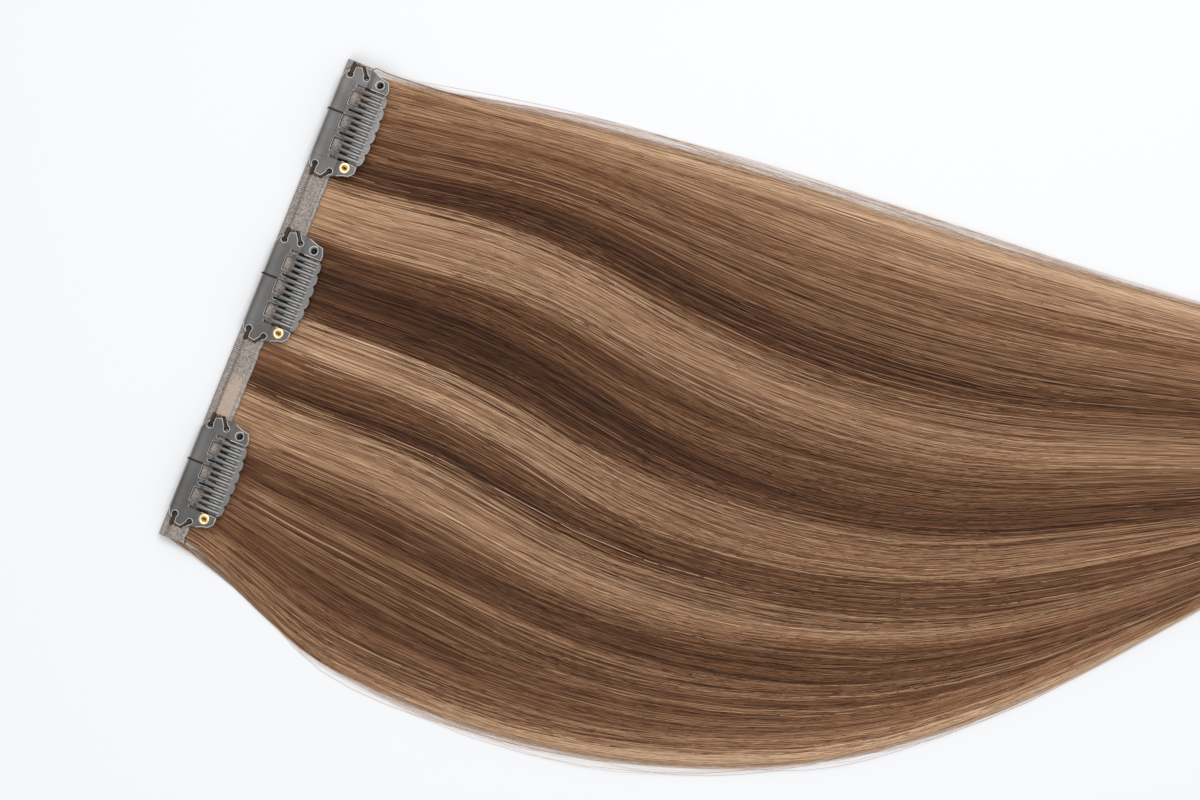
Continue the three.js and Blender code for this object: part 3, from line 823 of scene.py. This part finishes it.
class EXTENSION_OT_band(bpy.types.Operator):
    """Makes the folded woven band round the hair's root"""

    bl_idname = "extension.band"
    bl_label = "Weft band"

    def execute(self, context):
        inner = (ROOT_THICKNESS + 2 * GAP) / 2
        strip_top = BAND_TOP - TOP_LAYER
        outer = strip_top / 2
        front = BAND_WIDTH
        bevel = CLOTH_BEVEL
        outline = [(front - bevel, 0.0), (front, bevel), (front, LEG - bevel)]
        outline += [(front - bevel, LEG)]
        outline += [(front - t * (front - FOLD_WALL - inner), LEG) for t in (0.33, 0.66, 1.0)]
        outline += [
            (FOLD_WALL + inner - inner * math.sin(a), LEG + inner - inner * math.cos(a))
            for a in np.linspace(0, math.pi, 8)[1:-1]
        ]
        outline += [(FOLD_WALL + inner + t * (front - bevel - FOLD_WALL - inner), LEG + 2 * inner)
                    for t in (0, 0.33, 0.66, 1.0)]
        outline += [(front, LEG + 2 * inner + bevel), (front, BAND_TOP - bevel)]
        outline += [(front - bevel, BAND_TOP)]
        outline += [(front - bevel - t * (front - bevel - SEAM_AT), BAND_TOP)
                    for t in np.linspace(0.08, 0.97, 12)]
        outline += [(SEAM_AT, BAND_TOP - bevel / 2), (SEAM_AT - bevel / 3, strip_top)]
        outline += [
            (outer - outer * math.sin(a), outer + outer * math.cos(a))
            for a in np.linspace(0, math.pi, 12)[1:]
        ]
        outline += [(outer + t * (front - bevel - outer), 0.0) for t in (0.25, 0.5, 0.75)]
        outline = np.array(outline)
        y = np.linspace(-BAND_HALF, BAND_HALF, BAND_ROWS)
        rng = np.random.default_rng(3)
        points = np.zeros((BAND_ROWS, len(outline), 3))
        knots = np.linspace(y[0], y[-1], EDGE_KNOTS)
        edge = EDGE_WANDER * np.interp(y, knots, rng.normal(0, 1, EDGE_KNOTS))
        pull = smoothstep(outline[:, 0], front * 0.85, front)
        slack = CLOTH_SLACK * ripple(y * 60, y * 0, 8)
        points[:, :, 0] = outline[None, :, 0] + edge[:, None] * pull[None, :]
        points[:, :, 1] = y[:, None]
        points[:, :, 2] = outline[None, :, 1]
        high = outline[:, 1] > BAND_TOP - 0.5 * TOP_LAYER
        points[:, high, 2] += np.minimum(slack, 0)[:, None]
        points += np.array([BACK_X, MIDDLE_Y, 0])
        mesh = closed_skin("band", points)
        write_attribute(mesh, "beige", beige_at(points))
        obj = add_object("band", mesh, band_material())
        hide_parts("weft_band")
        return {"FINISHED"}


# Beige stretches of the band, from and to in half bands along it and in band widths across it
BEIGE = (
    (-0.56, -0.33, 0.33, 0.88),
    (0.86, 1.02, 0.55, 1.05),
    (0.18, 0.24, 0.40, 0.80),
)


def beige_at(points):
    """How beige the band's cloth is at its points, from 0 to 1."""
    across = (points[..., 0] - BACK_X) / BAND_WIDTH
    along = (points[..., 1] - MIDDLE_Y) / BAND_HALF
    along = along + 0.02 * ripple(across, along, 9, across_scale=6, along_scale=20)
    beige = np.zeros(across.shape)
    for low, high, back, front in BEIGE:
        inside = smoothstep(along, low - 0.03, low + 0.03) - smoothstep(along, high - 0.04, high + 0.04)
        inside = inside * smoothstep(across, back - 0.06, back + 0.04)
        inside = inside * (1 - smoothstep(across, front - 0.06, front + 0.04))
        beige = np.maximum(beige, inside)
    return beige


# Painted shade on the band's back fold with a painted highlight beside it, painted shadow at the
# seam's step, the plain cloth, and a darker then a lighter line along the selvedge
BAND_SHADING_LEVELS = ((0.0, 0.8), (0.06, 1.08), (0.24, 1.0), (0.28, 0.66), (0.33, 0.92), (0.5, 1.0),
               (0.83, 1.0), (0.87, 0.74), (0.91, 1.16), (1.0, 1.1))
STRIP_SHARE = 0.29
BEIGE_SHARE = 0.62
CLOTH_NOISE = 1700


def band_material():
    """Plain woven tape: two thread colours, beige stretches, the weave as bump, and painted light and
    shade across it.
    """
    c = colours()
    material, wires, shader = new_material("band_cloth")
    where = wires.position()
    split = wires.node("ShaderNodeSeparateXYZ", {0: where}).outputs
    rate = math.tau / sizes().weave_pitch
    cross = wires.maths("SINE", wires.maths("MULTIPLY", split["X"], rate))
    length = wires.maths("SINE", wires.maths("MULTIPLY", split["Y"], rate * 1.15))
    across = wires.maths("MULTIPLY_ADD", split["X"], 1 / BAND_WIDTH, -BACK_X / BAND_WIDTH)
    ribbed = wires.maths("LESS_THAN", across, STRIP_SHARE)
    crossed = wires.maths("MAXIMUM", cross, ribbed)
    weave = wires.maths("MULTIPLY", crossed, length)
    slub = wires.maths("MULTIPLY_ADD", wires.noise(where, CLOTH_NOISE, 4), 1.3, -0.15)
    level = wires.maths("MULTIPLY_ADD", weave, 0.30, slub)
    cloth = wires.ramp(level, ((0.15, c.band_dark), (0.85, c.band_light)))
    share = wires.maths("MULTIPLY", wires.attribute("beige"), BEIGE_SHARE)
    mixed = wires.mix(share, cloth, (*c.band_beige, 1))
    # Multiplies the cloth by the painted shade and highlights across it
    shaded = wires.mix(1.0, mixed, wires.levels(across, BAND_SHADING_LEVELS), "MULTIPLY")
    wires.feed(shader["Base Color"], shaded)
    shader["Roughness"].default_value = 0.9
    wires.feed(shader["Normal"], wires.bump(level, 0.6, 0.08 * MM))
    return material


# Clips

# How much painted light the lugs' slopes get, the sharpest turn that stays unrounded, and the
# shortest edge that gets a rim
SLOPE_PAINTED_LIGHT = 0.5
SHARP_OVER = math.radians(30)
SHORTEST_EDGE = 0.02 * MM


def rounded_copy(node, bevel, light=0.0):
    """A CAD node's own solid as a new mesh with rounded edges, whose rounded faces get a painted
    highlight as strong as given and whose lugs' slopes get painted light.
    """
    shape = merged_cad(node)
    mesh = bpy.data.meshes.new(node + "_sharp")
    shape.to_mesh(mesh)
    shape.free()
    mesh.materials.clear()
    mesh.materials.append(None)
    mesh.materials.append(None)
    mesh.polygons.foreach_set("material_index", np.zeros(len(mesh.polygons), np.int32))
    obj = bpy.data.objects.new(node + "_sharp", mesh)
    bpy.context.scene.collection.objects.link(obj)
    modifier = obj.modifiers.new("edges", "BEVEL")
    modifier.width = bevel
    modifier.segments = 2
    modifier.limit_method = "ANGLE"
    modifier.angle_limit = SHARP_OVER
    modifier.material = 1
    evaluated = obj.evaluated_get(bpy.context.evaluated_depsgraph_get())
    rounded = bpy.data.meshes.new_from_object(evaluated)
    bpy.data.objects.remove(obj)
    bpy.data.meshes.remove(mesh)
    marks = np.zeros(len(rounded.polygons), np.int32)
    rounded.polygons.foreach_get("material_index", marks)
    # Painted light: the rounded faces get a painted highlight as strong as given, and the lugs' sloping
    # faces a fixed painted light, as they reflect less of the light
    sloping = [SLOPE_PAINTED_LIGHT if not mark and 0.5 < face.normal.z < 0.9 else 0.0
               for mark, face in zip(marks, rounded.polygons)]
    write_painted_light(rounded, marks * light + np.array(sloping))
    rounded.polygons.foreach_set("material_index", np.zeros(len(marks), np.int32))
    rounded.polygons.foreach_set("use_smooth", marks > 0)
    return rounded


def write_painted_light(mesh, values):
    """Marks each face in its edge attribute: above 0 as a painted highlight, below 0 as painted shade.
    """
    layer = mesh.attributes.new("edge", "FLOAT", "FACE")
    layer.data.foreach_set("value", np.ascontiguousarray(values, np.float32))


def marked(mesh, value):
    """Marks a whole mesh's faces, from -1 for painted shade to 1 for a painted highlight, and smooths
    it.
    """
    write_painted_light(mesh, np.full(len(mesh.polygons), value))
    mesh.shade_smooth()
    return mesh


CLIP_CORNERS = {number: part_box(f"clip_{number}_plate")[0].copy() for number in CLIPS}


def clip_place(number, x, y, z):
    """A point given in mm from a clip's back edge, middle and underside, in the frame."""
    return CLIP_CORNERS[number] + Vector((x, CLIP_HALF_LENGTH + y, z)) * MM


# Openings of a plate, inside whose edges dark tubes are laid as painted shadow: from and to across it
# and from its middle
OPENINGS = (
    (BACK_BAR - 0.2, WINDOW_FRONT + 0.4, 0.0, 12.4),
    (0.7, 7.7, 12.2, 15.8),
)


def rims(number, radius):
    """Pressed rims along the plate's outline, marked as painted highlights, and dark tubes below the
    edges of its openings, laid there as painted shadow.
    """
    corner = CLIP_CORNERS[number]
    shape = merged_cad(f"clip_{number}_plate")
    shape.verts.ensure_lookup_table()
    edges, facing = [], {}
    for edge in shape.edges:
        if len(edge.link_faces) != 2 or edge.calc_length() < SHORTEST_EDGE:
            continue
        upper, wall = sorted(edge.link_faces, key=lambda face: -face.normal.z)
        height = (edge.verts[0].co.z + edge.verts[1].co.z) / 2
        on_sheet = any(abs(height - corner.z - top * MM) < 0.05 * MM for top in (SHEET, LUG_TOP))
        falls = wall.calc_center_median().z < height - 0.02 * MM
        if upper.normal.z > 0.9 and abs(wall.normal.z) < 0.3 and falls and on_sheet:
            edges.append([v.index for v in edge.verts])
            for v in edges[-1]:
                facing[v] = facing.get(v, Vector()) + wall.normal
    used = sorted(facing)
    new = {v: k for k, v in enumerate(used)}
    points = np.array([shape.verts[v].co[:] for v in used])
    outward = np.array([facing[v].normalized()[:] for v in used])
    shape.free()
    pairs = np.array([[new[a], new[b]] for a, b in edges])
    x = (points[:, 0] - corner.x) / MM
    y = np.abs((points[:, 1] - corner.y) / MM - CLIP_HALF_LENGTH)
    opened = np.zeros(len(points), bool)
    for back, front, near, far in OPENINGS:
        opened |= (x > back) & (x < front) & (y > near) & (y < far)
    crest = {"points": points - [0, 0, 0.35 * radius], "taper": np.ones(len(points))}
    # Dark tubes offset into the openings and sunk below their edges, a painted shadow
    shadow_tube = {"points": points + outward * 1.4 * radius - [0, 0, 1.9 * radius],
            "taper": np.ones(len(points))}
    inner = pairs[opened[pairs].all(axis=1)]
    # The crests are marked as painted highlights and the dark tubes as painted shadow
    return joined(f"rims_{number}", [
        marked(swept("crest", crest, pairs, radius, None, sides=6), 1.0),
        marked(swept("shadow_tube", shadow_tube, inner, 0.9 * radius, None, sides=6), -1.0),
    ])


def rods(number, half_width, tongue_half_width):
    """Raised rods of the comb, one on each tooth, and the tongues pressed up between them, both marked
    as painted highlights.
    """
    top, sunk = COMB_TOP + 0.02, COMB_TOP - 0.25
    front = U_BEND_AT + 0.75
    long_rows, short_rows = [], []
    for k in range(2 * TOOTH_PAIRS):
        y = FIELD_MIDDLE + (k - TOOTH_PAIRS + 0.5) * TOOTH_PITCH
        row = [(ROD_BACK, y, sunk), (ROD_BACK + 0.5, y, top), (front - 0.5, y, top),
               (front, y, sunk)]
        long_rows.append([clip_place(number, *point) for point in row])
        if k:
            y -= TOOTH_PITCH / 2
            row = [(TONGUE_BACK, y, sunk), (TONGUE_BACK + 0.3, y, top),
                   (U_BEND_AT - 0.4, y, top), (U_BEND_AT - 0.1, y, sunk)]
            short_rows.append([clip_place(number, *point) for point in row])
    long_mesh = tubes("rods", line_rows(long_rows), half_width, None, sides=10, flatten=0.8)
    short_mesh = tubes("tongues", line_rows(short_rows), tongue_half_width, None, sides=8)
    # The rods and tongues are marked as painted highlights
    return joined(f"rods_{number}", [marked(long_mesh, 0.45), marked(short_mesh, 0.7)])


def web(number):
    """The comb's floor between the roots of its teeth, marked with painted shade."""
    half = TOOTH_PITCH * TOOTH_PAIRS - 0.1
    front = COMB_BACK + 0.3
    corners = [
        clip_place(number, x, FIELD_MIDDLE + side * half, z)
        for z in (COMB_TOP - 0.55, COMB_TOP - 0.12)
        for x, side in ((WINDOW_FRONT, -1), (front, -1), (front, 1), (WINDOW_FRONT, 1))
    ]
    faces = [(3, 2, 1, 0), (4, 5, 6, 7), (0, 1, 5, 4), (1, 2, 6, 5), (2, 3, 7, 6), (3, 0, 4, 7)]
    mesh = mesh_from(f"web_{number}", corners, faces)
    # Painted shade on the floor between the teeth
    write_painted_light(mesh, np.full(len(mesh.polygons), -0.8))
    return mesh


# Sections of the brass eyelet at the lower end and the steel one at the upper end, from inside to
# outside, in mm from their axis and from the clip's underside
BRASS_SECTION = (
    (0.30, 1.12),
    (0.34, 1.02),
    (1.18, 1.00),
    (1.30, 1.07),
    (1.20, 1.15),
    (0.94, 1.17),
    (0.94, 1.83),
    (1.44, 1.83),
    (1.56, 1.93),
    (1.54, 2.05),
    (1.42, 2.14),
    (1.20, 2.19),
    (0.96, 2.18),
    (0.78, 2.11),
    (0.67, 1.98),
    (0.63, 1.80),
    (0.62, 1.30),
    (0.52, 1.20),
)
STEEL_SECTION = (
    (0.00, 1.02),
    (0.92, 1.02),
    (0.92, 1.83),
    (1.42, 1.83),
    (1.46, 1.92),
    (1.38, 2.03),
    (1.22, 2.06),
    (1.06, 2.02),
    (0.96, 1.92),
    (0.86, 1.70),
    (0.84, 1.20),
    (0.00, 1.14),
)


def eyelet_mesh(name, number, x, y, section, steps=48):
    """An eyelet turned from its section."""
    n = len(section)
    points = [
        clip_place(number, x + radius * math.cos(a), y + radius * math.sin(a), height)
        for a in np.linspace(0, math.tau, steps + 1)[:-1] for radius, height in section
    ]
    closed = section[0][0] > 0
    faces = [
        (k * n + i, ((k + 1) % steps) * n + i,
         ((k + 1) % steps) * n + (i + 1) % n, k * n + (i + 1) % n)
        for k in range(steps) for i in range(n if closed else n - 1)
    ]
    mesh = mesh_from(name, points, faces)
    shape = bmesh.new()
    shape.from_mesh(mesh)
    bmesh.ops.remove_doubles(shape, verts=shape.verts, dist=1e-7)
    shape.to_mesh(mesh)
    shape.free()
    fix_normals(mesh)
    return mesh


def steel_eyelet(number):
    """The steel eyelet of the upper end, with painted shade inside and below, and a painted highlight
    on the upward faces of its flange.
    """
    mesh = eyelet_mesh("steel_eyelet", number, EYELET_X, EYELET_Y, STEEL_SECTION)
    flange = CLIP_CORNERS[number].z + LUG_TOP * MM
    # Painted highlight on the flange's upward faces, painted shade on all the rest
    write_painted_light(mesh, [1.0 if face.center.z > flange and face.normal.z > 0 else -1.0
                      for face in mesh.polygons])
    mesh.shade_smooth()
    return mesh


# Painted light and shade across a clip, in shares of its depth: on the plate's back bar a painted light
# rim, a painted dark crease and a painted highlight for its rolled section; on the comb painted shade
# on the floor under its rods, and a lighter front bar
GRAIN_NOISE, CLOUD_NOISE, TARNISH_NOISE = 1100, 120, 1500
PLATE_PAINTED_SHADING = ((0.0, 0.95), (0.025, 1.05), (0.042, 0.55), (0.06, 0.9), (0.12, 1.05), (0.2, 0.8),
                (0.25, 0.85))
COMB_PAINTED_SHADE = ((0.0, 0.38), (0.81, 0.38), (0.83, 1.05))


def coated_steel():
    """The group that coats steel: a fine grain, soft clouds, the painted light and shade across the
    clip, and painted highlights and painted shade where faces are marked.
    """
    c = colours()
    tree, wires, given, made = new_group(
        "coated_steel",
        {"Position": "vector", "Base": "colour", "Level": "value", "Painted highlight and shade": "value"},
        {"Colour": "colour", "Roughness": "value", "Grain": "value"})
    grain = wires.noise(given["Position"], GRAIN_NOISE, 5)
    cloud = wires.noise(given["Position"], CLOUD_NOISE, 2)
    cloud = wires.maths("MULTIPLY_ADD", cloud, 2.5, -0.75, use_clamp=True)
    cloud = wires.maths("MULTIPLY_ADD", cloud, 0.36, 0.82)
    # Painted shade where a face's mark is below 0, and the painted light and shade across the clip
    shadow = wires.maths("MULTIPLY_ADD", wires.maths("MINIMUM", given["Painted highlight and shade"], 0.0), 0.85, 1.0)
    level = wires.maths("MULTIPLY", given["Level"], wires.maths("MULTIPLY", cloud, shadow))
    lit_and_shaded = wires.mix(1.0, given["Base"], level, "MULTIPLY")
    # Painted highlight where a face's mark is above 0, mixed towards the highlight colour with the
    # grain
    painted_highlight = wires.maths("MULTIPLY", wires.maths("MAXIMUM", given["Painted highlight and shade"], 0.0),
                       wires.maths("MULTIPLY_ADD", grain, 0.3, 0.75))
    wires.feed(made["Colour"], wires.mix(painted_highlight, lit_and_shaded, (*c.steel_highlight, 1)))
    wires.feed(made["Roughness"], wires.maths("MULTIPLY_ADD", grain, 0.18, 0.30))
    wires.feed(made["Grain"], grain)
    return tree


def steel_material(name, base, painted_shading):
    """Coated steel, with painted light and shade across the clip and painted highlights and shade where
    its faces are marked.
    """
    material, wires, shader = new_material(name)
    where = wires.position()
    split = wires.node("ShaderNodeSeparateXYZ", {0: where}).outputs
    back = CLIP_CORNERS[CLIPS[0]].x
    rate = 1 / (CLIP_DEPTH * MM)
    depth = wires.maths("MULTIPLY_ADD", split["X"], rate, -back * rate)
    tree = bpy.data.node_groups.get("coated_steel") or coated_steel()
    coat = wires.node("ShaderNodeGroup", node_tree=tree)
    for key, value in (
            ("Position", where),
            ("Base", (*base, 1)),
            # Painted light and shade across the clip, and the faces' painted marks
            ("Level", wires.levels(depth, painted_shading)),
            ("Painted highlight and shade", wires.attribute("edge"))):
        wires.feed(coat.inputs[key], value)
    wires.feed(shader["Base Color"], coat.outputs["Colour"])
    wires.feed(shader["Roughness"], coat.outputs["Roughness"])
    shader["Metallic"].default_value = 0.75
    wires.feed(shader["Normal"], wires.bump(coat.outputs["Grain"], 0.25, 0.02 * MM))
    return material


def brass_material():
    """Polished brass with a fine tarnish."""
    c = colours()
    material, wires, shader = new_material("rivet_brass")
    noise = wires.noise(wires.position(), TARNISH_NOISE)
    colour = wires.ramp(noise, ((0.3, [v * 0.8 for v in c.brass]), (0.7, c.brass)))
    wires.feed(shader["Base Color"], colour)
    shader["Metallic"].default_value = 1.0
    wires.feed(shader["Roughness"], wires.maths("MULTIPLY_ADD", noise, 0.12, 0.32))
    return material


class EXTENSION_OT_clips(bpy.types.Operator):
    """Makes the stamped plates, the combs and the brass eyelets"""

    bl_idname = "extension.clips"
    bl_label = "Clips"

    def execute(self, context):
        s, c = sizes(), colours()
        first = CLIPS[0]
        plate = joined("plate", [
            rounded_copy(f"clip_{first}_plate", s.plate_bevel),
            rims(first, s.rim_radius),
            steel_eyelet(first),
        ])
        comb = joined("comb", [
            # The comb's rounded edges get painted highlights
            rounded_copy(f"clip_{first}_comb", s.comb_bevel, light=0.85),
            rods(first, s.rod_half_width, s.tongue_half_width),
            web(first),
        ])
        plate_steel = steel_material("clip_steel", c.steel, PLATE_PAINTED_SHADING)
        comb_steel = steel_material("comb_steel", c.comb_steel, COMB_PAINTED_SHADE)
        eyelet = eyelet_mesh("eyelet", first, RIVET_X, RIVET_Y, BRASS_SECTION)
        kinds = (
            ("plate", plate, plate_steel, "clip_steel", "plate"),
            ("comb", comb, comb_steel, "clip_steel", "comb"),
            ("eyelet", eyelet, brass_material(), "rivet_brass", "rivet"),
        )
        for number in CLIPS:
            move = Matrix.Translation(CLIP_CORNERS[number] - CLIP_CORNERS[first])
            for kind, master, material, slot, node in kinds:
                mesh = master.copy()
                mesh.transform(move)
                body = f"comb_{number}" if kind == "comb" else BODY
                name = f"{kind}_of_clip_{number}"
                piece = add_object(name, mesh, material, body, kind == "eyelet")
                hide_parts(f"clip_{number}_{node}")
        return {"FINISHED"}


# Threads

TWIST_NOISE = 4000


def thread_material():
    """Twisted dark sewing thread, paler where its tone is higher."""
    c = colours()
    material, wires, shader = new_material("thread")
    noise = wires.noise(wires.position(), TWIST_NOISE)
    shade = wires.maths("MULTIPLY_ADD", noise, 0.5, -0.2)
    shade = wires.maths("ADD", shade, wires.attribute("tone"))
    wires.feed(shader["Base Color"], wires.ramp(shade, ((0.0, c.thread), (1.0, c.thread_pale))))
    shader["Roughness"].default_value = 0.7
    shader["Specular IOR Level"].default_value = 0.25
    return material


def slot_turns(number, end, turns=4):
    """Threads that lie in a sewing slot, from its hole to past its mouth."""
    rows = []
    for hole, mouth in ((HOLE_BACK, MOUTH_BACK), (HOLE_FRONT, MOUTH_FRONT)):
        start = Vector((*hole, 0))
        way = Vector((*mouth, 0)) - start
        run = way.normalized()
        side = Vector((-run.y, run.x, 0))
        for k in range(turns):
            shift = side * (k - (turns - 1) / 2) * 0.27
            past = 0.55 + 0.2 * (k % 3)
            row = [
                start - run * 0.35 + shift * 1.5 + Vector((0, 0, -0.2)),
                start + shift * 1.6 + Vector((0, 0, 0.02)),
                start + way * 0.45 + shift + Vector((0, 0, 0.10 + 0.06 * (k % 2))),
                start + way * 0.85 + shift * 0.9 + Vector((0, 0, 0.10)),
                start + way + run * past * 0.6 + shift * 1.1 + Vector((0, 0, -0.06)),
                start + way + run * past + shift * 1.2 + Vector((0, 0, -0.3)),
            ]
            rows.append(clip_line(number, [(p.x, end * p.y, p.z) for p in row], 4))
    return rows


def tip_turns(number, end, turns=3):
    """Threads that pass round the tip of the plate's tab, from slot to slot."""
    rows = []
    for k in range(turns):
        past = 0.22 + 0.26 * k
        low = -0.02 - 0.03 * k
        row = [
            (MOUTH_BACK[0] - 0.25, MOUTH_BACK[1] - 0.9),
            (TAB_BACK[0] - 0.15, TAB_BACK[1] + past * 0.3),
            (0.7 * TAB_BACK[0] + 0.3 * TAB_FRONT[0], TAB_BACK[1] + past),
            (0.3 * TAB_BACK[0] + 0.7 * TAB_FRONT[0], TAB_FRONT[1] + past),
            (TAB_FRONT[0] + 0.15, TAB_FRONT[1] + past * 0.2),
            (MOUTH_FRONT[0] + 0.3, MOUTH_FRONT[1] - 1.0),
        ]
        rows.append(clip_line(number, [(x, end * y, low) for x, y in row], 4))
    return rows


def toned(rows, seed, low, high):
    """Rows of thread as lines, each with its own tone between two."""
    lines = line_rows(rows)
    tones = np.random.default_rng(seed).uniform(low, high, (len(rows), 1))
    lines["tone"] = np.broadcast_to(tones, lines["points"].shape[:2])
    return lines


def smooth_line(row, parts):
    """A line through the given points, rounded between them."""
    row = [Vector(point) for point in row]
    out = []
    for k in range(len(row) - 1):
        before, start = row[max(k - 1, 0)], row[k]
        finish, after = row[k + 1], row[min(k + 2, len(row) - 1)]
        for part in range(parts):
            t = part / parts
            out.append(0.5 * (
                2 * start + (finish - before) * t
                + (2 * before - 5 * start + 4 * finish - after) * t * t
                + (3 * start - before - 3 * finish + after) * t ** 3))
    return out + [row[-1]]


def clip_line(number, row, parts):
    """A rounded line through points given in mm on a clip, in the frame."""
    return [clip_place(number, *point) for point in smooth_line(row, parts)]


def cross_turns(number):
    """Two turns of thread round the band's back edge and over the back bar."""
    rows = []
    for k in range(2):
        y = CROSS_THREAD_Y + 0.16 * k
        top = SHEET + 0.32
        rows.append(clip_line(number, [
            (-0.25, y - 0.2, -1.2),
            (-0.32, y - 0.1, -0.3),
            (0.02, y, 0.45),
            (0.6, y, top),
            (2.2, y - 0.06, top + 0.04),
            (3.7, y, top),
            (4.25, y, 0.4),
            (4.35, y, -0.35),
        ], 3))
    return rows


def seam_stitches(pitch):
    """Short stitches along the step where the band's upper layer is sewn down."""
    count = int(2 * BAND_HALF / pitch) - 1
    rows = []
    for k in range(count):
        y = (k - (count - 1) / 2) * pitch
        x = SEAM_AT + 0.25 * MM
        row = [(-0.05, -0.30, -0.12), (0.0, -0.2, 0.03), (0.05, 0.0, 0.06), (0.1, 0.2, 0.03),
               (0.15, 0.30, -0.12)]
        rows.append([place(x + a * MM, y + b * MM, BAND_TOP + c * MM) for a, b, c in row])
    return toned(rows, 5, 0.5, 1.3)


class EXTENSION_OT_threads(bpy.types.Operator):
    """Sews the clips on with dark thread"""

    bl_idname = "extension.threads"
    bl_label = "Threads"

    def execute(self, context):
        material = thread_material()
        radius = sizes().thread_radius
        for number in CLIPS:
            in_slots = slot_turns(number, 1) + slot_turns(number, -1)
            round_tips = tip_turns(number, 1) + tip_turns(number, -1)
            mesh = joined(f"threads_{number}", [
                tubes("in_slots", toned(in_slots, number, 0.0, 0.3), radius, None, sides=7),
                tubes("round_tips", toned(round_tips, number, 0.1, 0.9), radius, None, sides=7),
                tubes("across", toned(cross_turns(number), number, 0.0, 0.1), radius, None, sides=7),
            ])
            add_object(f"threads_{number}", mesh, material, BODY)
        stitches = tubes("seam_stitches", seam_stitches(sizes().stitch_pitch), radius * 0.45,
                         None, sides=5)
        add_object("seam_stitches", stitches, material, BODY)
        return {"FINISHED"}


# Stage

FLOOR_HALF = 2
SKY = (0.97, 0.98, 1.0)
SKY_STRENGTH = 0.5

# Each light's name, place, aim, width in metres and power in watts
LIGHTS = (
    ("softbox", (-0.03, 0.36, 1.0), (-0.02, -0.02, 0), 0.8, 6.5),
    ("fill", (-0.15, -0.7, 1.0), (-0.05, 0, 0), 0.9, 3.0),
)


class EXTENSION_OT_stage(bpy.types.Operator):
    """Sets the pale floor, the soft light and the camera"""

    bl_idname = "extension.stage"
    bl_label = "Stage"

    def execute(self, context):
        scene = context.scene
        corners = [(x * FLOOR_HALF, y * FLOOR_HALF, 0)
                   for x, y in ((-1, -1), (1, -1), (1, 1), (-1, 1))]
        mesh = mesh_from("floor", corners, [(0, 1, 2, 3)])
        floor = bpy.data.objects.new("floor", mesh)
        scene.collection.objects.link(floor)
        material, wires, shader = new_material("floor")
        shader["Base Color"].default_value = (*colours().floor, 1)
        shader["Roughness"].default_value = 0.9
        mesh.materials.append(material)
        world = bpy.data.worlds.new("studio")
        world.use_nodes = True
        sky = world.node_tree.nodes["Background"]
        sky.inputs["Color"].default_value = (*SKY, 1)
        sky.inputs["Strength"].default_value = SKY_STRENGTH
        scene.world = world
        scene.view_settings.view_transform = "Standard"
        for name, spot, target, size, power in LIGHTS:
            add_light(name, spot, target, size, power)
        add_camera()
        return {"FINISHED"}


def add_light(name, spot, target, size, power):
    data = bpy.data.lights.new(name, "AREA")
    data.shape = "DISK"
    data.size = size
    data.energy = power
    light = bpy.data.objects.new(name, data)
    light.location = spot
    aim = Vector(target) - Vector(spot)
    light.rotation_euler = aim.to_track_quat("-Z", "Y").to_euler()
    bpy.context.scene.collection.objects.link(light)


# The camera's lens in mm, and the photograph: pixels per millimetre, the pixel of the band's
# middle at its back edge, its size in pixels and the turn of the view
LENS = 85
PHOTO_SCALE = 3.59
PHOTO_MIDDLE = (252.9, 295.7)
PHOTO_SIZE = (1200, 800)
PHOTO_TURN = math.radians(21.8)


def add_camera():
    """Straight above, turned about the view as in the photograph."""
    data = bpy.data.cameras.new("camera")
    data.lens = LENS
    width = PHOTO_SIZE[0] / PHOTO_SCALE * MM
    height = data.lens / data.sensor_width * width
    right = (PHOTO_SIZE[0] / 2 - PHOTO_MIDDLE[0]) / PHOTO_SCALE * MM
    down = (PHOTO_SIZE[1] / 2 - PHOTO_MIDDLE[1]) / PHOTO_SCALE * MM
    c, s = math.cos(PHOTO_TURN), math.sin(PHOTO_TURN)
    spot = place(right * c + down * s, right * s - down * c, height + BAND_TOP)
    camera = bpy.data.objects.new("camera", data)
    camera.location = spot
    camera.rotation_euler = Euler((0, 0, PHOTO_TURN))
    bpy.context.scene.collection.objects.link(camera)
    bpy.context.scene.camera = camera


class EXTENSION_PT_panel(bpy.types.Panel):
    """Lists the sizes, the colours and the pieces"""

    bl_idname = "EXTENSION_PT_panel"
    bl_label = "Hair extension"
    bl_space_type = "VIEW_3D"
    bl_region_type = "UI"
    bl_category = "Extension"

    def draw(self, context):
        for group in (sizes(), colours()):
            box = self.layout.box()
            for key in group.bl_rna.properties.keys():
                if key not in ("rna_type", "name"):
                    box.prop(group, key)
        for operator in OPERATORS:
            self.layout.operator(operator.bl_idname)


OPERATORS = (
    EXTENSION_OT_stage,
    EXTENSION_OT_hair_bed,
    EXTENSION_OT_strands,
    EXTENSION_OT_band,
    EXTENSION_OT_clips,
    EXTENSION_OT_threads,
)
CLASSES = (ExtensionSizes, ExtensionColours, *OPERATORS, EXTENSION_PT_panel)


def register():
    for cls in CLASSES:
        bpy.utils.register_class(cls)
    bpy.types.Scene.extension_sizes = PointerProperty(type=ExtensionSizes)
    bpy.types.Scene.extension_colours = PointerProperty(type=ExtensionColours)


def unregister():
    del bpy.types.Scene.extension_colours
    del bpy.types.Scene.extension_sizes
    for cls in reversed(CLASSES):
        bpy.utils.unregister_class(cls)


def main():
    register()
    for operator in OPERATORS:
        group, name = operator.bl_idname.split(".")
        getattr(getattr(bpy.ops, group), name)()


if __name__ == "__main__":
    main()
